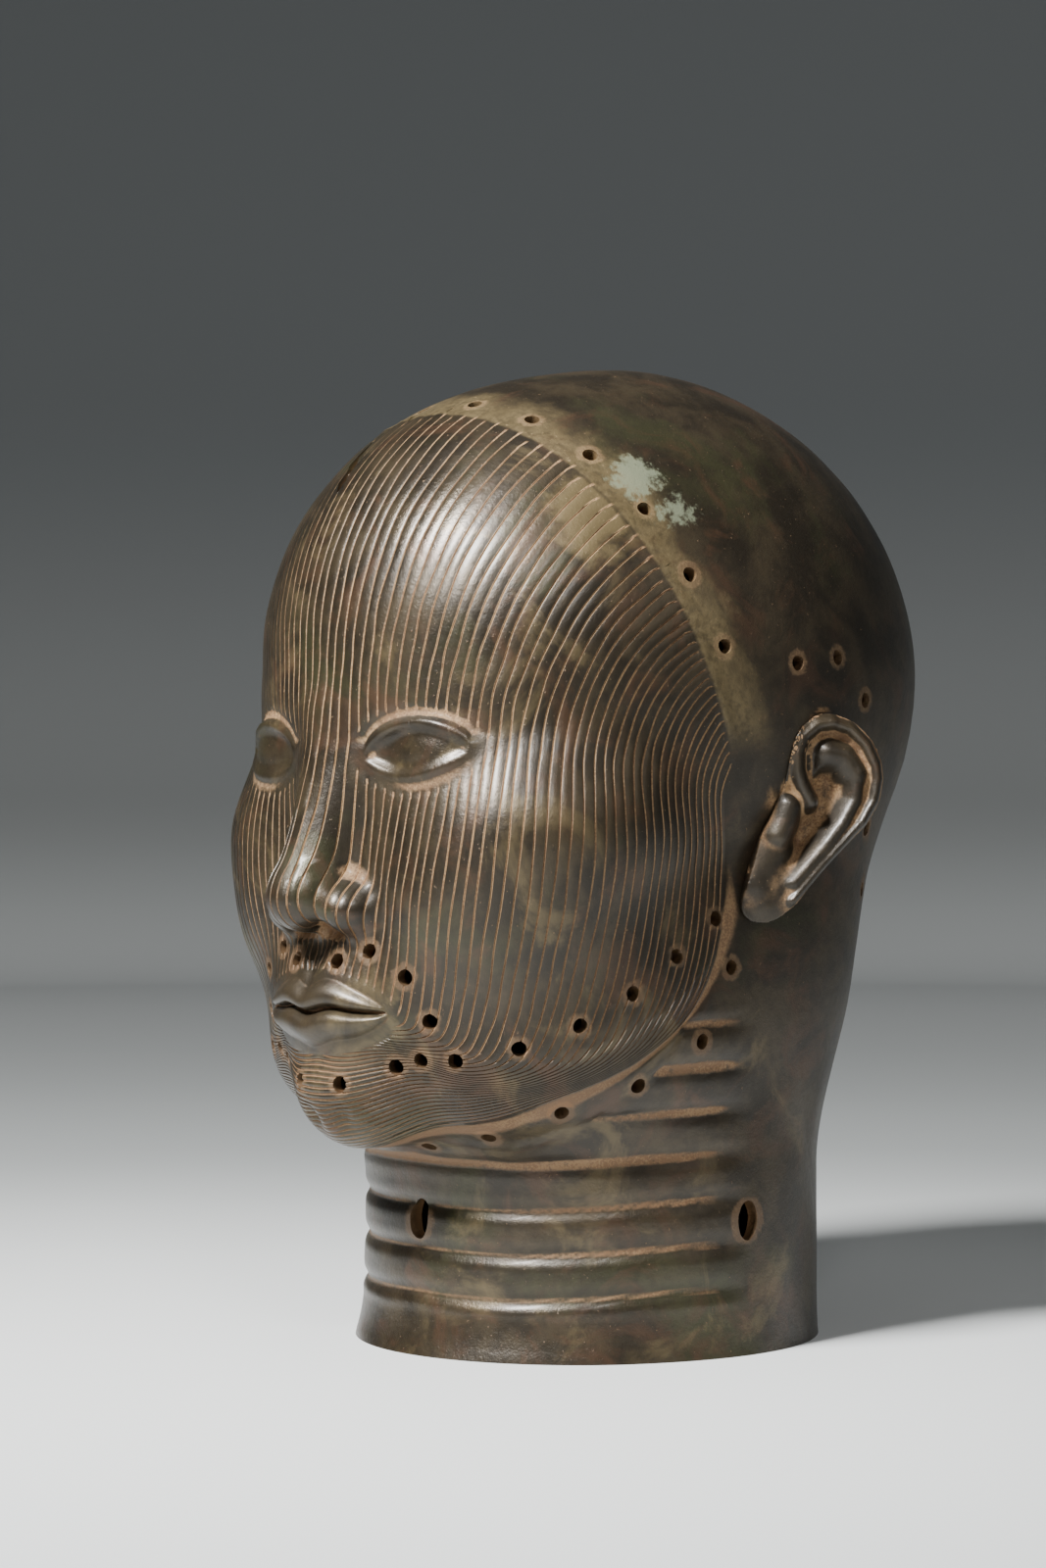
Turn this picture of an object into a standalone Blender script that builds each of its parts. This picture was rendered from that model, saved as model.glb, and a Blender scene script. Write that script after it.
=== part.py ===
"""A hollow cast head on a ringed neck, open below, with pierced hairline and beard lines.

Metres, +Z up, face towards -Y, the head's left side towards +X. The origin is the middle of the
base rim. Free forms are written in head units, of which HEAD_UNITS make the height.
"""

import math

import bmesh
import bpy
import numpy as np
from mathutils import Matrix, Vector

# driving sizes, metres
HEIGHT = 0.300
WALL = 0.004
LINE_HOLE = 0.0046
NECK_HOLE_WIDTH = 0.008
NECK_HOLE_HEIGHT = 0.012
NECK_HOLE_LEVEL = 0.040
NECK_RING_PITCH = 0.0133
NECK_RING_FIRST = 0.019
NECK_RING_DEPTH = 0.0016
HAIRLINE_HOLE_PITCH = 0.0235
EAR_LENGTH = 0.062
EAR_WIDTH = 0.034
EAR_THICKNESS = 0.0036

# one head unit, so that the free form scales with the height
HEAD_UNITS = 285.0
REFERENCE = "base middle"
UNIT = HEIGHT / HEAD_UNITS
MILLIMETRE = 0.001

# mesh density of the solids
OUTER_RINGS = (56, 10, 26)
OUTER_AROUND = 120
CORE_RINGS = (10, 3, 3)
CORE_AROUND = 23
KEEP_OUTER = 0.087
PLAIN = "plain"
PLAIN_PULL = 0.0003
RIM_SPARED = 4.0
LINE_HOLE_SIDES = 6
NECK_HOLE_SIDES = 12

# clay masses in head units: centre, radii and the width of the join
CRANIUM = ((0, 7, 193), (83, 101, 92))
MASSES = {
    "forehead": ((0, -38, 200), (69, 59, 67), 22),
    "midface": ((0, -40, 137), (65, 59, 72), 24),
    "cheekbone": ((43, -56, 149), (30, 35, 24), 18),
    "cheek": ((33, -62, 126), (31, 34, 32), 18),
    "jaw corner": ((46, -22, 100), (22, 40, 32), 20),
    "jaw": ((27, -50, 85), (31, 40, 25), 20),
    "muzzle": ((0, -80, 102), (31, 27, 23), 14),
    "chin": ((0, -84, 77), (22, 20, 18), 13),
}
BROW = ((6, -84, 184), (44, -70, 185), 10, 8, 12)
NAPE = ((0, 28, 120), (64, 46, 62), 26)
SOCKET = ((31, -112, 171), (17, 15, 10), 9)
EYEBALL = ((31, -80.5, 170.5), (16.5, 16, 15), 3)
NOSE_RIDGE = ((0, -94, 178), (0, -107, 135), 6.0, 9.0, 10)
NOSE_TIP = ((0, -109, 129.5), (9.5, 10, 8.5), 6)
NOSE_WING = ((12, -100, 127), (7.5, 10, 7.5), 5)
MOUTH_LEVEL = 99.0
NECK_HALF_WIDTH = 66.0
NECK_HALF_DEPTH = 67.0
NECK_TOP = 135.0
FOOT_FLARE = 5.0

# the ears: place of the middle (depth, height) in head units, and angles in degrees
EAR_PLACE = (15.0, 152.0)
EAR_FLARE = 26.0
EAR_LEAN = 24.0
EAR_LIFT = 1.0
EAR_SKIN = 0.5
EAR_SPOKES = 48
EAR_FRONT_RINGS = 14
EAR_BACK_RINGS = 4
EAR_VOXEL = 0.0008
KEEP_EAR = 0.045

# lines of pierced holes on one half, as azimuth and elevation from the middle of the head
BEARD_LINE = [(0, -41.5), (24, -41), (45, -40), (62, -37), (80, -31)]
BEARD_PITCH = 0.0190
JAW_LINE = [(0, -57.5), (22, -54.5), (43, -50.5), (62, -50), (76, -46), (83, -36)]
JAW_PITCH = 0.0245
# moustache and mouth corners: across and up in head units
LIP_HOLES = [(9, 113), (19, 116), (30, 109), (35, 97), (31, 86)]
# behind and above the ear: depth and height in head units
EAR_HOLES = [(3, 196), (20, 198), (34, 186), (49, 149), (53, 131)]
HAIRLINE_BACK = 8.5

# the split in the forehead, on the right: middle in head units, outline along and across it
TEAR_MIDDLE = (-17.0, -76.0, 253.0)
TEAR_TURN = 24.0
TEAR_OUTLINE = [
    (-12, -0.4), (-7, -2.2), (-3, -0.9), (1, -2.6), (6, -1.6), (12, 0.2),
    (7, 1.4), (3, 0.7), (-1, 2.4), (-5, 0.9), (-8, 1.8),
]

# what the thinning spares on the face: across and up in head units, and how far each way
SPARED = [(31, 170.5, 20, 14), (0, 99, 26, 13)]

# how the mesh rows run: elevation of each column on the midline, azimuth and elevation where it
# leaves the lined face, and azimuth down the neck, in degrees seen from the middle of the head
EYE_OF_ROWS = 170.0
COLUMNS = [
    (-32.5, 0, -51.5, 0),
    (-32, 20, -50.5, 18),
    (-31, 40, -48, 36),
    (-29, 58, -47, 52),
    (-25, 72, -42, 66),
    (-17, 80, -29, 80),
    (-7, 80, -13, 93),
    (6, 77, 2, 104),
    (21, 80, 12, 114),
    (38, 92, 20, 124),
    (58, 112, 26, 134),
    (85, 136, 25, 146),
    (115, 152, 18, 157),
    (142, 166, 9, 168),
    (165, 180, 2, 180),
]
NECK_FRONT = 57.0
NECK_BACK = 95.0


def length(v):
    return np.sqrt((v * v).sum(-1))


def ellipsoid(p, centre, radii):
    q = (p - np.array(centre)) / np.array(radii)
    near = length(q)
    slope = np.maximum(length(q / np.array(radii)), 1e-9)
    return near * (near - 1) / slope


def rod(p, start, end, start_radius, end_radius):
    a = np.array(start, float)
    run = np.array(end, float) - a
    along = np.clip(((p - a) @ run) / (run @ run), 0, 1)
    return length(p - a - along[..., None] * run) - (start_radius + (end_radius - start_radius) * along)


def join(a, b, width):
    mix = np.clip(0.5 + 0.5 * (b - a) / width, 0, 1)
    return b * (1 - mix) + a * mix - width * mix * (1 - mix)


def cut(a, b, width):
    return -join(-a, b, width)


def bump(x, width):
    return np.exp(-((x / width) ** 2))


def step(x, low, high):
    t = np.clip((x - low) / (high - low), 0, 1)
    return t * t * (3 - 2 * t)


def neck(p):
    flare = np.exp(-np.maximum(p[..., 2], 0) / 9.0)
    front = np.clip(-p[..., 1] / 40, 0, 1)
    half_width = NECK_HALF_WIDTH + 1.5 * step(p[..., 2], 50, 110) + 1.2 * flare
    half_depth = NECK_HALF_DEPTH + FOOT_FLARE * flare * front
    q = np.stack([p[..., 0] / half_width, (p[..., 1] - 1.0) / half_depth], -1)
    near = length(q)
    slope = np.maximum(length(q / np.stack([half_width, half_depth], -1)), 1e-9)
    return -join(-near * (near - 1) / slope, NECK_TOP - p[..., 2], 20)


def form(p, with_nose=True):
    """signed distance to the smooth head, in head units"""
    p = p * np.array([1.0, 1.0, 1.0])
    p[..., 0] = np.abs(p[..., 0])
    f = ellipsoid(p, *CRANIUM)
    for centre, radii, width in MASSES.values():
        f = join(f, ellipsoid(p, centre, radii), width)
    f = join(f, rod(p, *BROW[:4]), BROW[4])
    f = join(f, neck(p), 14)
    f = join(f, ellipsoid(p, *NAPE[:2]), NAPE[2])
    f = cut(f, ellipsoid(p, *SOCKET[:2]), SOCKET[2])
    f = join(f, ellipsoid(p, *EYEBALL[:2]), EYEBALL[2])
    if with_nose:
        f = join(f, rod(p, *NOSE_RIDGE[:4]), NOSE_RIDGE[4])
        f = join(f, ellipsoid(p, *NOSE_TIP[:2]), NOSE_TIP[2])
        f = join(f, ellipsoid(p, *NOSE_WING[:2]), NOSE_WING[2])
    return f


def direction(azimuth, elevation):
    a, e = np.radians(azimuth), np.radians(elevation)
    return np.stack([np.sin(a) * np.cos(e), -np.cos(a) * np.cos(e), np.sin(e)], -1)


def through(values, t):
    """smooth curve through evenly spaced values, t from 0 to 1"""
    v = np.asarray(values, float)
    last = len(v) - 1
    x = np.clip(t, 0, 1) * last
    i = np.minimum(x.astype(int), last - 1)
    f = x - i
    v = np.concatenate([[2 * v[0] - v[1]], v, [2 * v[-1] - v[-2]]])
    a, b, c, d = v[i], v[i + 1], v[i + 2], v[i + 3]
    return 0.5 * (2 * b + (c - a) * f + (2 * a - 5 * b + 4 * c - d) * f**2 + (3 * b - a - 3 * c + d) * f**3)


def meet(start, ray, distance):
    """where rays that start inside the form leave it"""
    low = np.zeros(start.shape[:-1])
    high = np.full_like(low, 190.0)
    for _ in range(18):
        middle = (low + high) / 2
        inside = distance(start + middle[..., None] * ray) < 0
        low = np.where(inside, middle, low)
        high = np.where(inside, high, middle)
    return start + low[..., None] * ray


def face_rows(across, t, distance):
    """rows from the midline slit to the edge of the lined face, then over the scalp"""
    columns = np.array(COLUMNS, float)
    middle = direction(np.zeros_like(t), through(columns[:, 0], t))
    edge = direction(through(columns[:, 1], t), through(columns[:, 2], t))
    across = across ** (1 + 0.7 * np.clip(1 - t / 0.26, 0, 1))
    angle = np.arccos(np.clip((middle * edge).sum(-1), -1, 1))
    ray = np.sin((1 - across) * angle)[..., None] * middle + np.sin(across * angle)[..., None] * edge
    ray = ray / length(ray)[..., None]
    return meet(np.zeros_like(ray) + np.array([0, 0, EYE_OF_ROWS]), ray, distance)


def neck_rows(down, t, distance):
    """level rows from the neck's top, which rises towards the back, to the base"""
    azimuth = np.radians(through(np.array(COLUMNS, float)[:, 3], t))
    top = NECK_FRONT + (NECK_BACK - NECK_FRONT) * step(np.degrees(azimuth), 25, 80)
    ray = np.stack([np.sin(azimuth), -np.cos(azimuth), np.zeros_like(t)], -1)
    start = np.stack([np.zeros_like(t), np.zeros_like(t), top * (1 - down)], -1)
    return meet(start, ray, distance)


def onto(p, distance, steps):
    for _ in range(steps):
        p = p - 0.8 * distance(p)[..., None] * normals(p, distance)
    return p


def normals(p, distance=form, reach=0.02):
    slopes = []
    for axis in np.eye(3):
        slopes.append(distance(p + axis * reach) - distance(p - axis * reach))
    g = np.stack(slopes, -1)
    return g / np.maximum(length(g), 1e-12)[..., None]


def even_out(p, distance, passes):
    """slides the grid along the form until its cells are even"""
    for _ in range(passes):
        pull = np.zeros_like(p)
        pull[1:-1, 1:-1] = (p[:-2, 1:-1] + p[2:, 1:-1] + p[1:-1, :-2] + p[1:-1, 2:]) / 4 - p[1:-1, 1:-1]
        pull[1:-1, 0] = (p[:-2, 0] + p[2:, 0]) / 2 - p[1:-1, 0]
        pull[1:-1, -1] = (p[:-2, -1] + p[2:, -1]) / 2 - p[1:-1, -1]
        pull[0, 1:-1] = (p[0, :-2] + p[0, 2:]) / 2 - p[0, 1:-1]
        n = normals(p, distance)
        p = p + 0.5 * (pull - (pull * n).sum(-1)[..., None] * n)
        p = onto(p, distance, 2)
        p[0, :, 0] = 0
        p[:, 0, 0] = 0
        p[:, -1, 0] = 0
        p[-1, :, 2] = 0
    return p


def eyes(p):
    """lids and the fold above them, on a generic eye"""
    across = (p[..., 0] - 31) / 15.5
    bow = np.clip(1 - across**2, 0, 1)
    middle = 170.5 + 0.8 * across
    above = p[..., 2] - (middle + 7.0 * bow**0.7)
    under = (middle - 5.2 * bow**0.8) - p[..., 2]
    near = bump(across, 1.25) * step(-p[..., 1], 60, 75)
    inside = step(-np.maximum(above, under), 0, 0.9) * step(bow, 0, 0.05)
    lids = 1.5 * bump(above - 1.4, 1.5) + 1.0 * bump(under - 1.2, 1.3)
    fold = -0.8 * bump(above - 4.6, 1.1)
    return near * (lids * step(1.25 - np.abs(across), 0, 0.3) + fold) - 1.0 * inside


def mouth(p):
    """closed lips, the dip above them and the hollow below, on a generic mouth"""
    across = p[..., 0] / 25
    bow = np.clip(1 - across**2, 0, 1)
    line = MOUTH_LEVEL + 0.9 * bump(p[..., 0] - 9, 5) - 0.6 * bump(p[..., 0], 4)
    up = (p[..., 2] - line) / np.maximum(8.6 * bow**0.75 - 1.6 * bump(p[..., 0], 3.5), 0.3)
    down = (line - p[..., 2]) / np.maximum(10.0 * bow**0.65, 0.3)
    front = step(-p[..., 1], 70, 85)
    upper = 2.6 * np.sin(np.pi * np.clip(up, 0, 1) ** 0.75) * bow**0.5
    lower = 3.4 * np.sin(np.pi * np.clip(down, 0, 1) ** 0.8) * bow**0.5
    parting = -1.8 * bump(p[..., 2] - line, 0.9) * bow**0.3
    hollow = -1.4 * bump(p[..., 2] - 85, 4) * bump(p[..., 0], 16)
    groove = -0.8 * bump(p[..., 0], 2.4) * step(p[..., 2], 104, 110) * step(120 - p[..., 2], 0, 5)
    return front * (upper + lower + parting + hollow + groove)


def nostrils(p, n):
    near = bump(p[..., 0] - 6.8, 3.6) * bump(p[..., 1] + 104, 4.6)
    return -5.5 * near * step(-n[..., 2], 0.2, 0.7) * step(132 - p[..., 2], 0, 5)


def hairline(p):
    """how far a point lies behind the hairline, in head units"""
    return p[..., 1] + 61.5 - 0.45 * (266 - p[..., 2])


def hairline_ridge(p):
    return 0.8 * bump(hairline(p), 1.5) * step(p[..., 2], 172, 180)


def neck_rings(p):
    """soft rolls round the front of the neck"""
    azimuth = np.arctan2(np.abs(p[..., 0]), -p[..., 1])
    level = p[..., 2] + 1.2 * np.sin(3 * azimuth + 0.4) - NECK_RING_FIRST / UNIT
    pitch = NECK_RING_PITCH / UNIT
    from_crease = np.abs((level / pitch + 0.5) % 1 - 0.5) * pitch
    roll = 0.45 - 1.45 * bump(from_crease, 2.0)
    inside = length(p[..., :2]) < NECK_HALF_WIDTH + 9
    span = step(level, -6, -2) * step(6.4 - level / pitch, 0, 0.6)
    fade = 1 - step(azimuth, 1.35, 1.62)
    return NECK_RING_DEPTH / (1.45 * UNIT) * roll * inside * span * fade


def relief(p, n):
    return eyes(p) + mouth(p) + nostrils(p, n) + hairline_ridge(p) + neck_rings(p)


def half_grid(rings, around, distance, passes):
    """points of one half of the head, by ring from the midline to the base and by column"""
    face, joint, throat = rings
    across = np.linspace(0, 1, face + 1)[:, None] + np.zeros(around + 1)
    down = np.linspace(0, 1, throat + 1)[:, None] + np.zeros(around + 1)
    along = np.linspace(0, 1, around + 1)[None, :]
    upper = face_rows(across, along + 0 * across, distance)
    lower = neck_rows(down, along + 0 * down, distance)
    share = np.linspace(0, 1, joint + 1)[1:-1, None, None]
    between = onto(upper[-1] * (1 - share) + lower[0] * share, distance, 8)
    return even_out(np.concatenate([upper, between, lower]), distance, passes)


def shell(name, points):
    """a closed mesh from one half's grid: mirrored at the midplane and filled across the base"""
    bm = bmesh.new()
    rings = len(points) - 1
    around = len(points[0]) - 1
    bmesh.ops.create_grid(bm, x_segments=rings, y_segments=around, size=0.5)
    for v in bm.verts:
        i = round((v.co.x + 0.5) * rings)
        j = round((v.co.y + 0.5) * around)
        v.co = Vector(points[i, j]) * UNIT
        if i == 0 or j in (0, around):
            v.co.x = 0
    bmesh.ops.mirror(bm, geom=bm.verts[:] + bm.edges[:] + bm.faces[:], axis="X", merge_dist=1e-7)
    bmesh.ops.holes_fill(bm, edges=bm.edges[:], sides=0)
    bmesh.ops.recalc_face_normals(bm, faces=bm.faces[:])
    return add_object(name, bm)


def add_object(name, bm):
    mesh = bpy.data.meshes.new(name)
    bm.to_mesh(mesh)
    bm.free()
    piece = bpy.data.objects.new(name, mesh)
    piece.parent = bpy.data.objects[REFERENCE]
    bpy.context.scene.collection.objects.link(piece)
    return piece


def add_reference():
    """the empty that everything hangs from, so that the origin is under the head's middle"""
    reference = bpy.data.objects.new(REFERENCE, None)
    starts = np.array([[0, 0, NOSE_TIP[0][2]], [0, 0, CRANIUM[0][2]]], float)
    ends = meet(starts, np.array([[0, -1.0, 0], [0, 1, 0]]), form)
    reference.location.y = -ends[:, 1].mean() * UNIT
    bpy.context.scene.collection.objects.link(reference)


def as_cutter(piece):
    piece.hide_render = True
    piece.display_type = "WIRE"
    return piece


def ear_shape(around, out):
    """front of the ear in its own plane: back-to-front, up and out from the rim, in shares"""
    turn = np.degrees(around)
    helix = step(turn, -60, -25) * step(178 - turn, 0, 25)
    fold = step(turn, -85, -40) * step(110 - turn, 0, 40)
    w = -0.08 + 0.10 * step(out, 0.80, 0.92) * helix
    w = w - 0.07 * bump(out - 0.78, 0.07) * helix
    w = w + 0.13 * bump(out - 0.58, 0.12) * fold
    w = w - 0.20 * (1 - step(out, 0.22, 0.50))
    w = w + 0.17 * bump(out - 0.62, 0.20) * bump(turn - 195, 26)
    w = w + 0.17 * bump(out - 0.62, 0.20) * bump(turn + 165, 26)
    w = w + 0.12 * bump(out - 0.50, 0.13) * bump(turn + 98, 24)
    w = w + 0.06 * step(out, 0.62, 0.8) * bump(turn + 100, 35)
    return w


def ear(name, spokes, rings_front, rings_back, side):
    """one ear: a dished disc facing out and forward, whose back narrows to a root in the wall"""
    rings = rings_front + rings_back
    half_width = EAR_WIDTH / 2 / UNIT
    half_length = EAR_LENGTH / 2 / UNIT
    flare, lean = math.radians(EAR_FLARE), math.radians(EAR_LEAN)
    normal = np.array([math.cos(flare), -math.sin(flare), 0])
    level_back = np.array([math.sin(flare), math.cos(flare), 0])
    up = math.cos(lean) * np.array([0, 0, 1]) + math.sin(lean) * level_back
    back = math.cos(lean) * level_back - math.sin(lean) * np.array([0, 0, 1])
    on_head = meet(np.array([[0.0, EAR_PLACE[0] - half_width, EAR_PLACE[1]]]), np.array([[1.0, 0, 0]]), form)[0]
    middle = np.array([on_head[0] + half_width * math.sin(flare) + EAR_LIFT, *EAR_PLACE])
    bm = bmesh.new()
    bmesh.ops.create_grid(bm, x_segments=rings - 1, y_segments=spokes, size=0.5)
    verts = bm.verts[:]
    grid = np.array([[round((v.co.x + 0.5) * (rings - 1)), round((v.co.y + 0.5) * spokes)] for v in verts])
    around = np.radians(360.0 * grid[:, 1] / spokes - 180.0)
    out = np.minimum((grid[:, 0] + 1) / rings_front, 1.0)
    inward = np.clip((grid[:, 0] + 1 - rings_front) / rings_back, 0, 1)
    across = half_width * (1 + 0.24 * np.sin(around)) * np.cos(around)
    height = half_length * np.sin(around)
    front = middle + (out * across)[:, None] * back + (out * height)[:, None] * up
    front = front + (2 * half_width * ear_shape(around, out))[:, None] * normal
    skin = meet(front * np.array([0, 1, 1]), np.zeros_like(front) + np.array([1.0, 0, 0]), form)
    front[:, 0] = np.maximum(front[:, 0], skin[:, 0] + EAR_SKIN)
    root = middle + (0.55 * across - 0.22 * half_width)[:, None] * back + (0.72 * height)[:, None] * up
    root = meet(root * np.array([0, 1, 1]), np.zeros_like(root) + np.array([1.0, 0, 0]), form)
    root = root - np.array([0.6 * WALL / UNIT, 0, 0])
    bulge = np.sqrt(np.sin(np.pi * inward))[:, None] * (-EAR_THICKNESS / UNIT * normal)
    shape = front * (1 - inward)[:, None] + root * inward[:, None] + bulge
    shape[:, 0] *= side
    for v, place in zip(verts, shape):
        v.co = Vector(place) * UNIT
    bmesh.ops.remove_doubles(bm, verts=bm.verts[:], dist=1e-6)
    bmesh.ops.holes_fill(bm, edges=bm.edges[:], sides=0)
    bmesh.ops.recalc_face_normals(bm, faces=bm.faces[:])
    piece = as_cutter(add_object(name, bm))
    even = piece.modifiers.new("one skin", "REMESH")
    even.mode = "VOXEL"
    even.voxel_size = EAR_VOXEL
    thin = piece.modifiers.new("fewer facets", "DECIMATE")
    thin.ratio = KEEP_EAR
    return piece


def along_line(line, pitch):
    """evenly spaced places on the head under a smooth line of azimuths and elevations"""
    line = np.array(line, float)
    t = np.linspace(0, 1, 240)
    ray = direction(through(line[:, 0], t), through(line[:, 1], t))
    track = meet(np.zeros_like(ray) + np.array([0, 0, EYE_OF_ROWS]), ray, form)
    return spaced(track, pitch)


def spaced(track, pitch):
    """points along a track from the midline, the first half a pitch out"""
    run = np.concatenate([[0], np.cumsum(length(np.diff(track, axis=0)))])
    marks = np.arange(pitch / UNIT / 2, run[-1], pitch / UNIT)
    return np.stack([np.interp(marks, run, track[:, k]) for k in range(3)], -1)


def along_hairline(pitch):
    """places just behind the hairline, from the crown to the temple"""
    turn = np.radians(np.linspace(0, 97, 240))
    level = 190.0
    depth = HAIRLINE_BACK - 61.5 + 0.45 * (266 - level)
    rise = np.array([0, -0.45, 1]) / math.hypot(0.45, 1)
    ray = np.cos(turn)[:, None] * rise + np.sin(turn)[:, None] * np.array([1.0, 0, 0])
    return spaced(meet(np.zeros_like(ray) + np.array([0, depth, level]), ray, form), pitch)


def on_front(places):
    places = np.array(places, float)
    start = np.stack([places[:, 0], 0 * places[:, 0], places[:, 1]], -1)
    return meet(start, np.zeros_like(start) + np.array([0, -1.0, 0]), form)


def on_side(places):
    places = np.array(places, float)
    start = np.stack([0 * places[:, 0], places[:, 0], places[:, 1]], -1)
    return meet(start, np.zeros_like(start) + np.array([1.0, 0, 0]), form)


def drill(bm, place, normal, width, height, sides, side):
    """one straight cutter through the wall, from 4 mm outside it"""
    outside = 4 * MILLIMETRE
    depth = outside + WALL * 2.5
    aim = Vector((normal[0] * side, normal[1], normal[2]))
    middle = Vector((place[0] * side, place[1], place[2])) * UNIT + aim * (outside - depth / 2)
    turn = aim.to_track_quat("Z", "Y").to_matrix().to_4x4()
    size = Matrix.Diagonal((width / 2, height / 2, 1, 1))
    bmesh.ops.create_cone(
        bm, cap_ends=True, segments=sides, radius1=1, radius2=1, depth=depth,
        matrix=Matrix.Translation(middle) @ turn @ size,
    )


def hole_cutters():
    """every pierced hole of both halves, as one set of separate cutters"""
    bm = bmesh.new()
    lines = [
        along_hairline(HAIRLINE_HOLE_PITCH), along_line(BEARD_LINE, BEARD_PITCH),
        along_line(JAW_LINE, JAW_PITCH), on_front(LIP_HOLES), on_side(EAR_HOLES),
    ]
    for line in lines:
        for place, normal in zip(line, normals(line)):
            for side in (1, -1):
                drill(bm, place, normal, LINE_HOLE, LINE_HOLE, LINE_HOLE_SIDES, side)
    level = NECK_HOLE_LEVEL / UNIT
    for turn in (0, 90, 180, 270):
        ray = direction(np.array([float(turn)]), np.array([0.0]))
        place = meet(np.array([[0, 0, level]]), ray, form)[0]
        drill(bm, place, ray[0], NECK_HOLE_WIDTH, NECK_HOLE_HEIGHT, NECK_HOLE_SIDES, 1)
    return as_cutter(add_object("hole cutters", bm))


def tear_cutter():
    """the split in the forehead: a ragged outline pushed through the wall"""
    bm = bmesh.new()
    middle = np.array([TEAR_MIDDLE], float)
    place = onto(middle, form, 8)[0]
    normal = Vector(normals(place[None])[0])
    turn = normal.to_track_quat("Z", "Y").to_matrix().to_4x4() @ Matrix.Rotation(math.radians(TEAR_TURN), 4, "Z")
    verts = [bm.verts.new(Vector((across, along, 0)) * UNIT) for along, across in TEAR_OUTLINE]
    face = bm.faces.new(verts)
    reach = WALL * 2.2
    moved = bmesh.ops.extrude_face_region(bm, geom=[face])["geom"]
    bmesh.ops.translate(bm, verts=[v for v in moved if isinstance(v, bmesh.types.BMVert)], vec=(0, 0, -2 * reach))
    bmesh.ops.translate(bm, verts=bm.verts[:], vec=(0, 0, reach))
    bmesh.ops.transform(bm, matrix=Matrix.Translation(Vector(place) * UNIT) @ turn, verts=bm.verts[:])
    bmesh.ops.recalc_face_normals(bm, faces=bm.faces[:])
    return as_cutter(add_object("tear cutter", bm))


def core_cutter():
    """the clay core: the plain form one wall inside the head, run out below the base"""
    def inner(p):
        return form(p, with_nose=False) + WALL / UNIT

    points = half_grid(CORE_RINGS, CORE_AROUND, inner, 4)
    points[-1, :, 2] = -WALL / UNIT
    return as_cutter(shell("core cutter", points))


def add_boolean(piece, operation, cutter):
    change = piece.modifiers.new(f"{operation.lower()} {cutter.name}", "BOOLEAN")
    change.operation = operation
    change.object = cutter
    change.solver = "EXACT"


def bronze():
    material = bpy.data.materials.new("dark bronze")
    material.use_nodes = True
    shader = material.node_tree.nodes["Principled BSDF"]
    shader.inputs["Base Color"].default_value = (0.085, 0.062, 0.045, 1)
    shader.inputs["Metallic"].default_value = 0.9
    shader.inputs["Roughness"].default_value = 0.42
    return material


def mark_plain(piece):
    """weights for the thinning: little at the eyes, the mouth and the rim, most on the plain skull"""
    group = piece.vertex_groups.new(name=PLAIN)
    for v in piece.data.vertices:
        across, depth, up = np.array(v.co) / UNIT
        front = step(-depth, 60, 80)
        spared = [bump(abs(across) - x, wide) * bump(up - z, high) * front for x, z, wide, high in SPARED]
        group.add([v.index], 1 - max(*spared, bump(up, RIM_SPARED)), "REPLACE")


def head():
    points = half_grid(OUTER_RINGS, OUTER_AROUND, form, 8)
    n = normals(points)
    piece = shell("bronze_head", points + relief(points, n)[..., None] * n)
    mark_plain(piece)
    thin = piece.modifiers.new("fewer facets", "DECIMATE")
    thin.ratio = KEEP_OUTER
    thin.vertex_group = PLAIN
    thin.vertex_group_factor = PLAIN_PULL
    thin.use_symmetry = True
    thin.symmetry_axis = "X"
    for side in (1, -1):
        name = "ear cutter left" if side > 0 else "ear cutter right"
        add_boolean(piece, "UNION", ear(name, EAR_SPOKES, EAR_FRONT_RINGS, EAR_BACK_RINGS, side))
    for cutter in (core_cutter(), hole_cutters(), tear_cutter()):
        add_boolean(piece, "DIFFERENCE", cutter)
    piece.data.materials.append(bronze())
    return piece


for leftover in list(bpy.data.objects):
    bpy.data.objects.remove(leftover)
add_reference()
head()
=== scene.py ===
"""Looks of a hollow cast head on a ringed neck: the lined skin, its patina, a plain stage and a camera.

Metres, +Z up, face towards -Y, the head's left side towards +X. Free forms are written in head units,
of which HEAD_UNITS make the height, with y measured from the middle of the neck.
"""

import math
import bmesh
import bpy
import numpy as np
from mathutils import Matrix, Vector, noise


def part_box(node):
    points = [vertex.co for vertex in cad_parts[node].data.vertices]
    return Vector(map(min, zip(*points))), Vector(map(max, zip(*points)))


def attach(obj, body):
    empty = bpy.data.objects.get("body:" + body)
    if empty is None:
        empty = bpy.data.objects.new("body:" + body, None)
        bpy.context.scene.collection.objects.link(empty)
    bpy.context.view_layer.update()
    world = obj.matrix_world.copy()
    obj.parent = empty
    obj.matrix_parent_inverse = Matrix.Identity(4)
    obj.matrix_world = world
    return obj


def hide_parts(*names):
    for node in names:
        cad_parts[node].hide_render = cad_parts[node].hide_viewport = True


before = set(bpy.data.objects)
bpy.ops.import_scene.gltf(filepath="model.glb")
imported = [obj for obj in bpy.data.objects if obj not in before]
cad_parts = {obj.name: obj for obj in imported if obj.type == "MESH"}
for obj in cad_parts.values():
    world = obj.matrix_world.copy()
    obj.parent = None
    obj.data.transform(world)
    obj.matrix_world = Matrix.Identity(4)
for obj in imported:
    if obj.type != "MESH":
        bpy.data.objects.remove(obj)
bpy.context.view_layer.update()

bl_info = {
    "name": "Cast bronze head",
    "version": (1, 0, 0),
    "blender": (4, 5, 0),
    "location": "View3D > Sidebar > Bronze head",
    "description": "Builds the lined skin, the patina and the stage of a hollow cast head",
    "category": "Add Mesh",
}

NODE = "bronze_head"
BASE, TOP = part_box(NODE)

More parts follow.
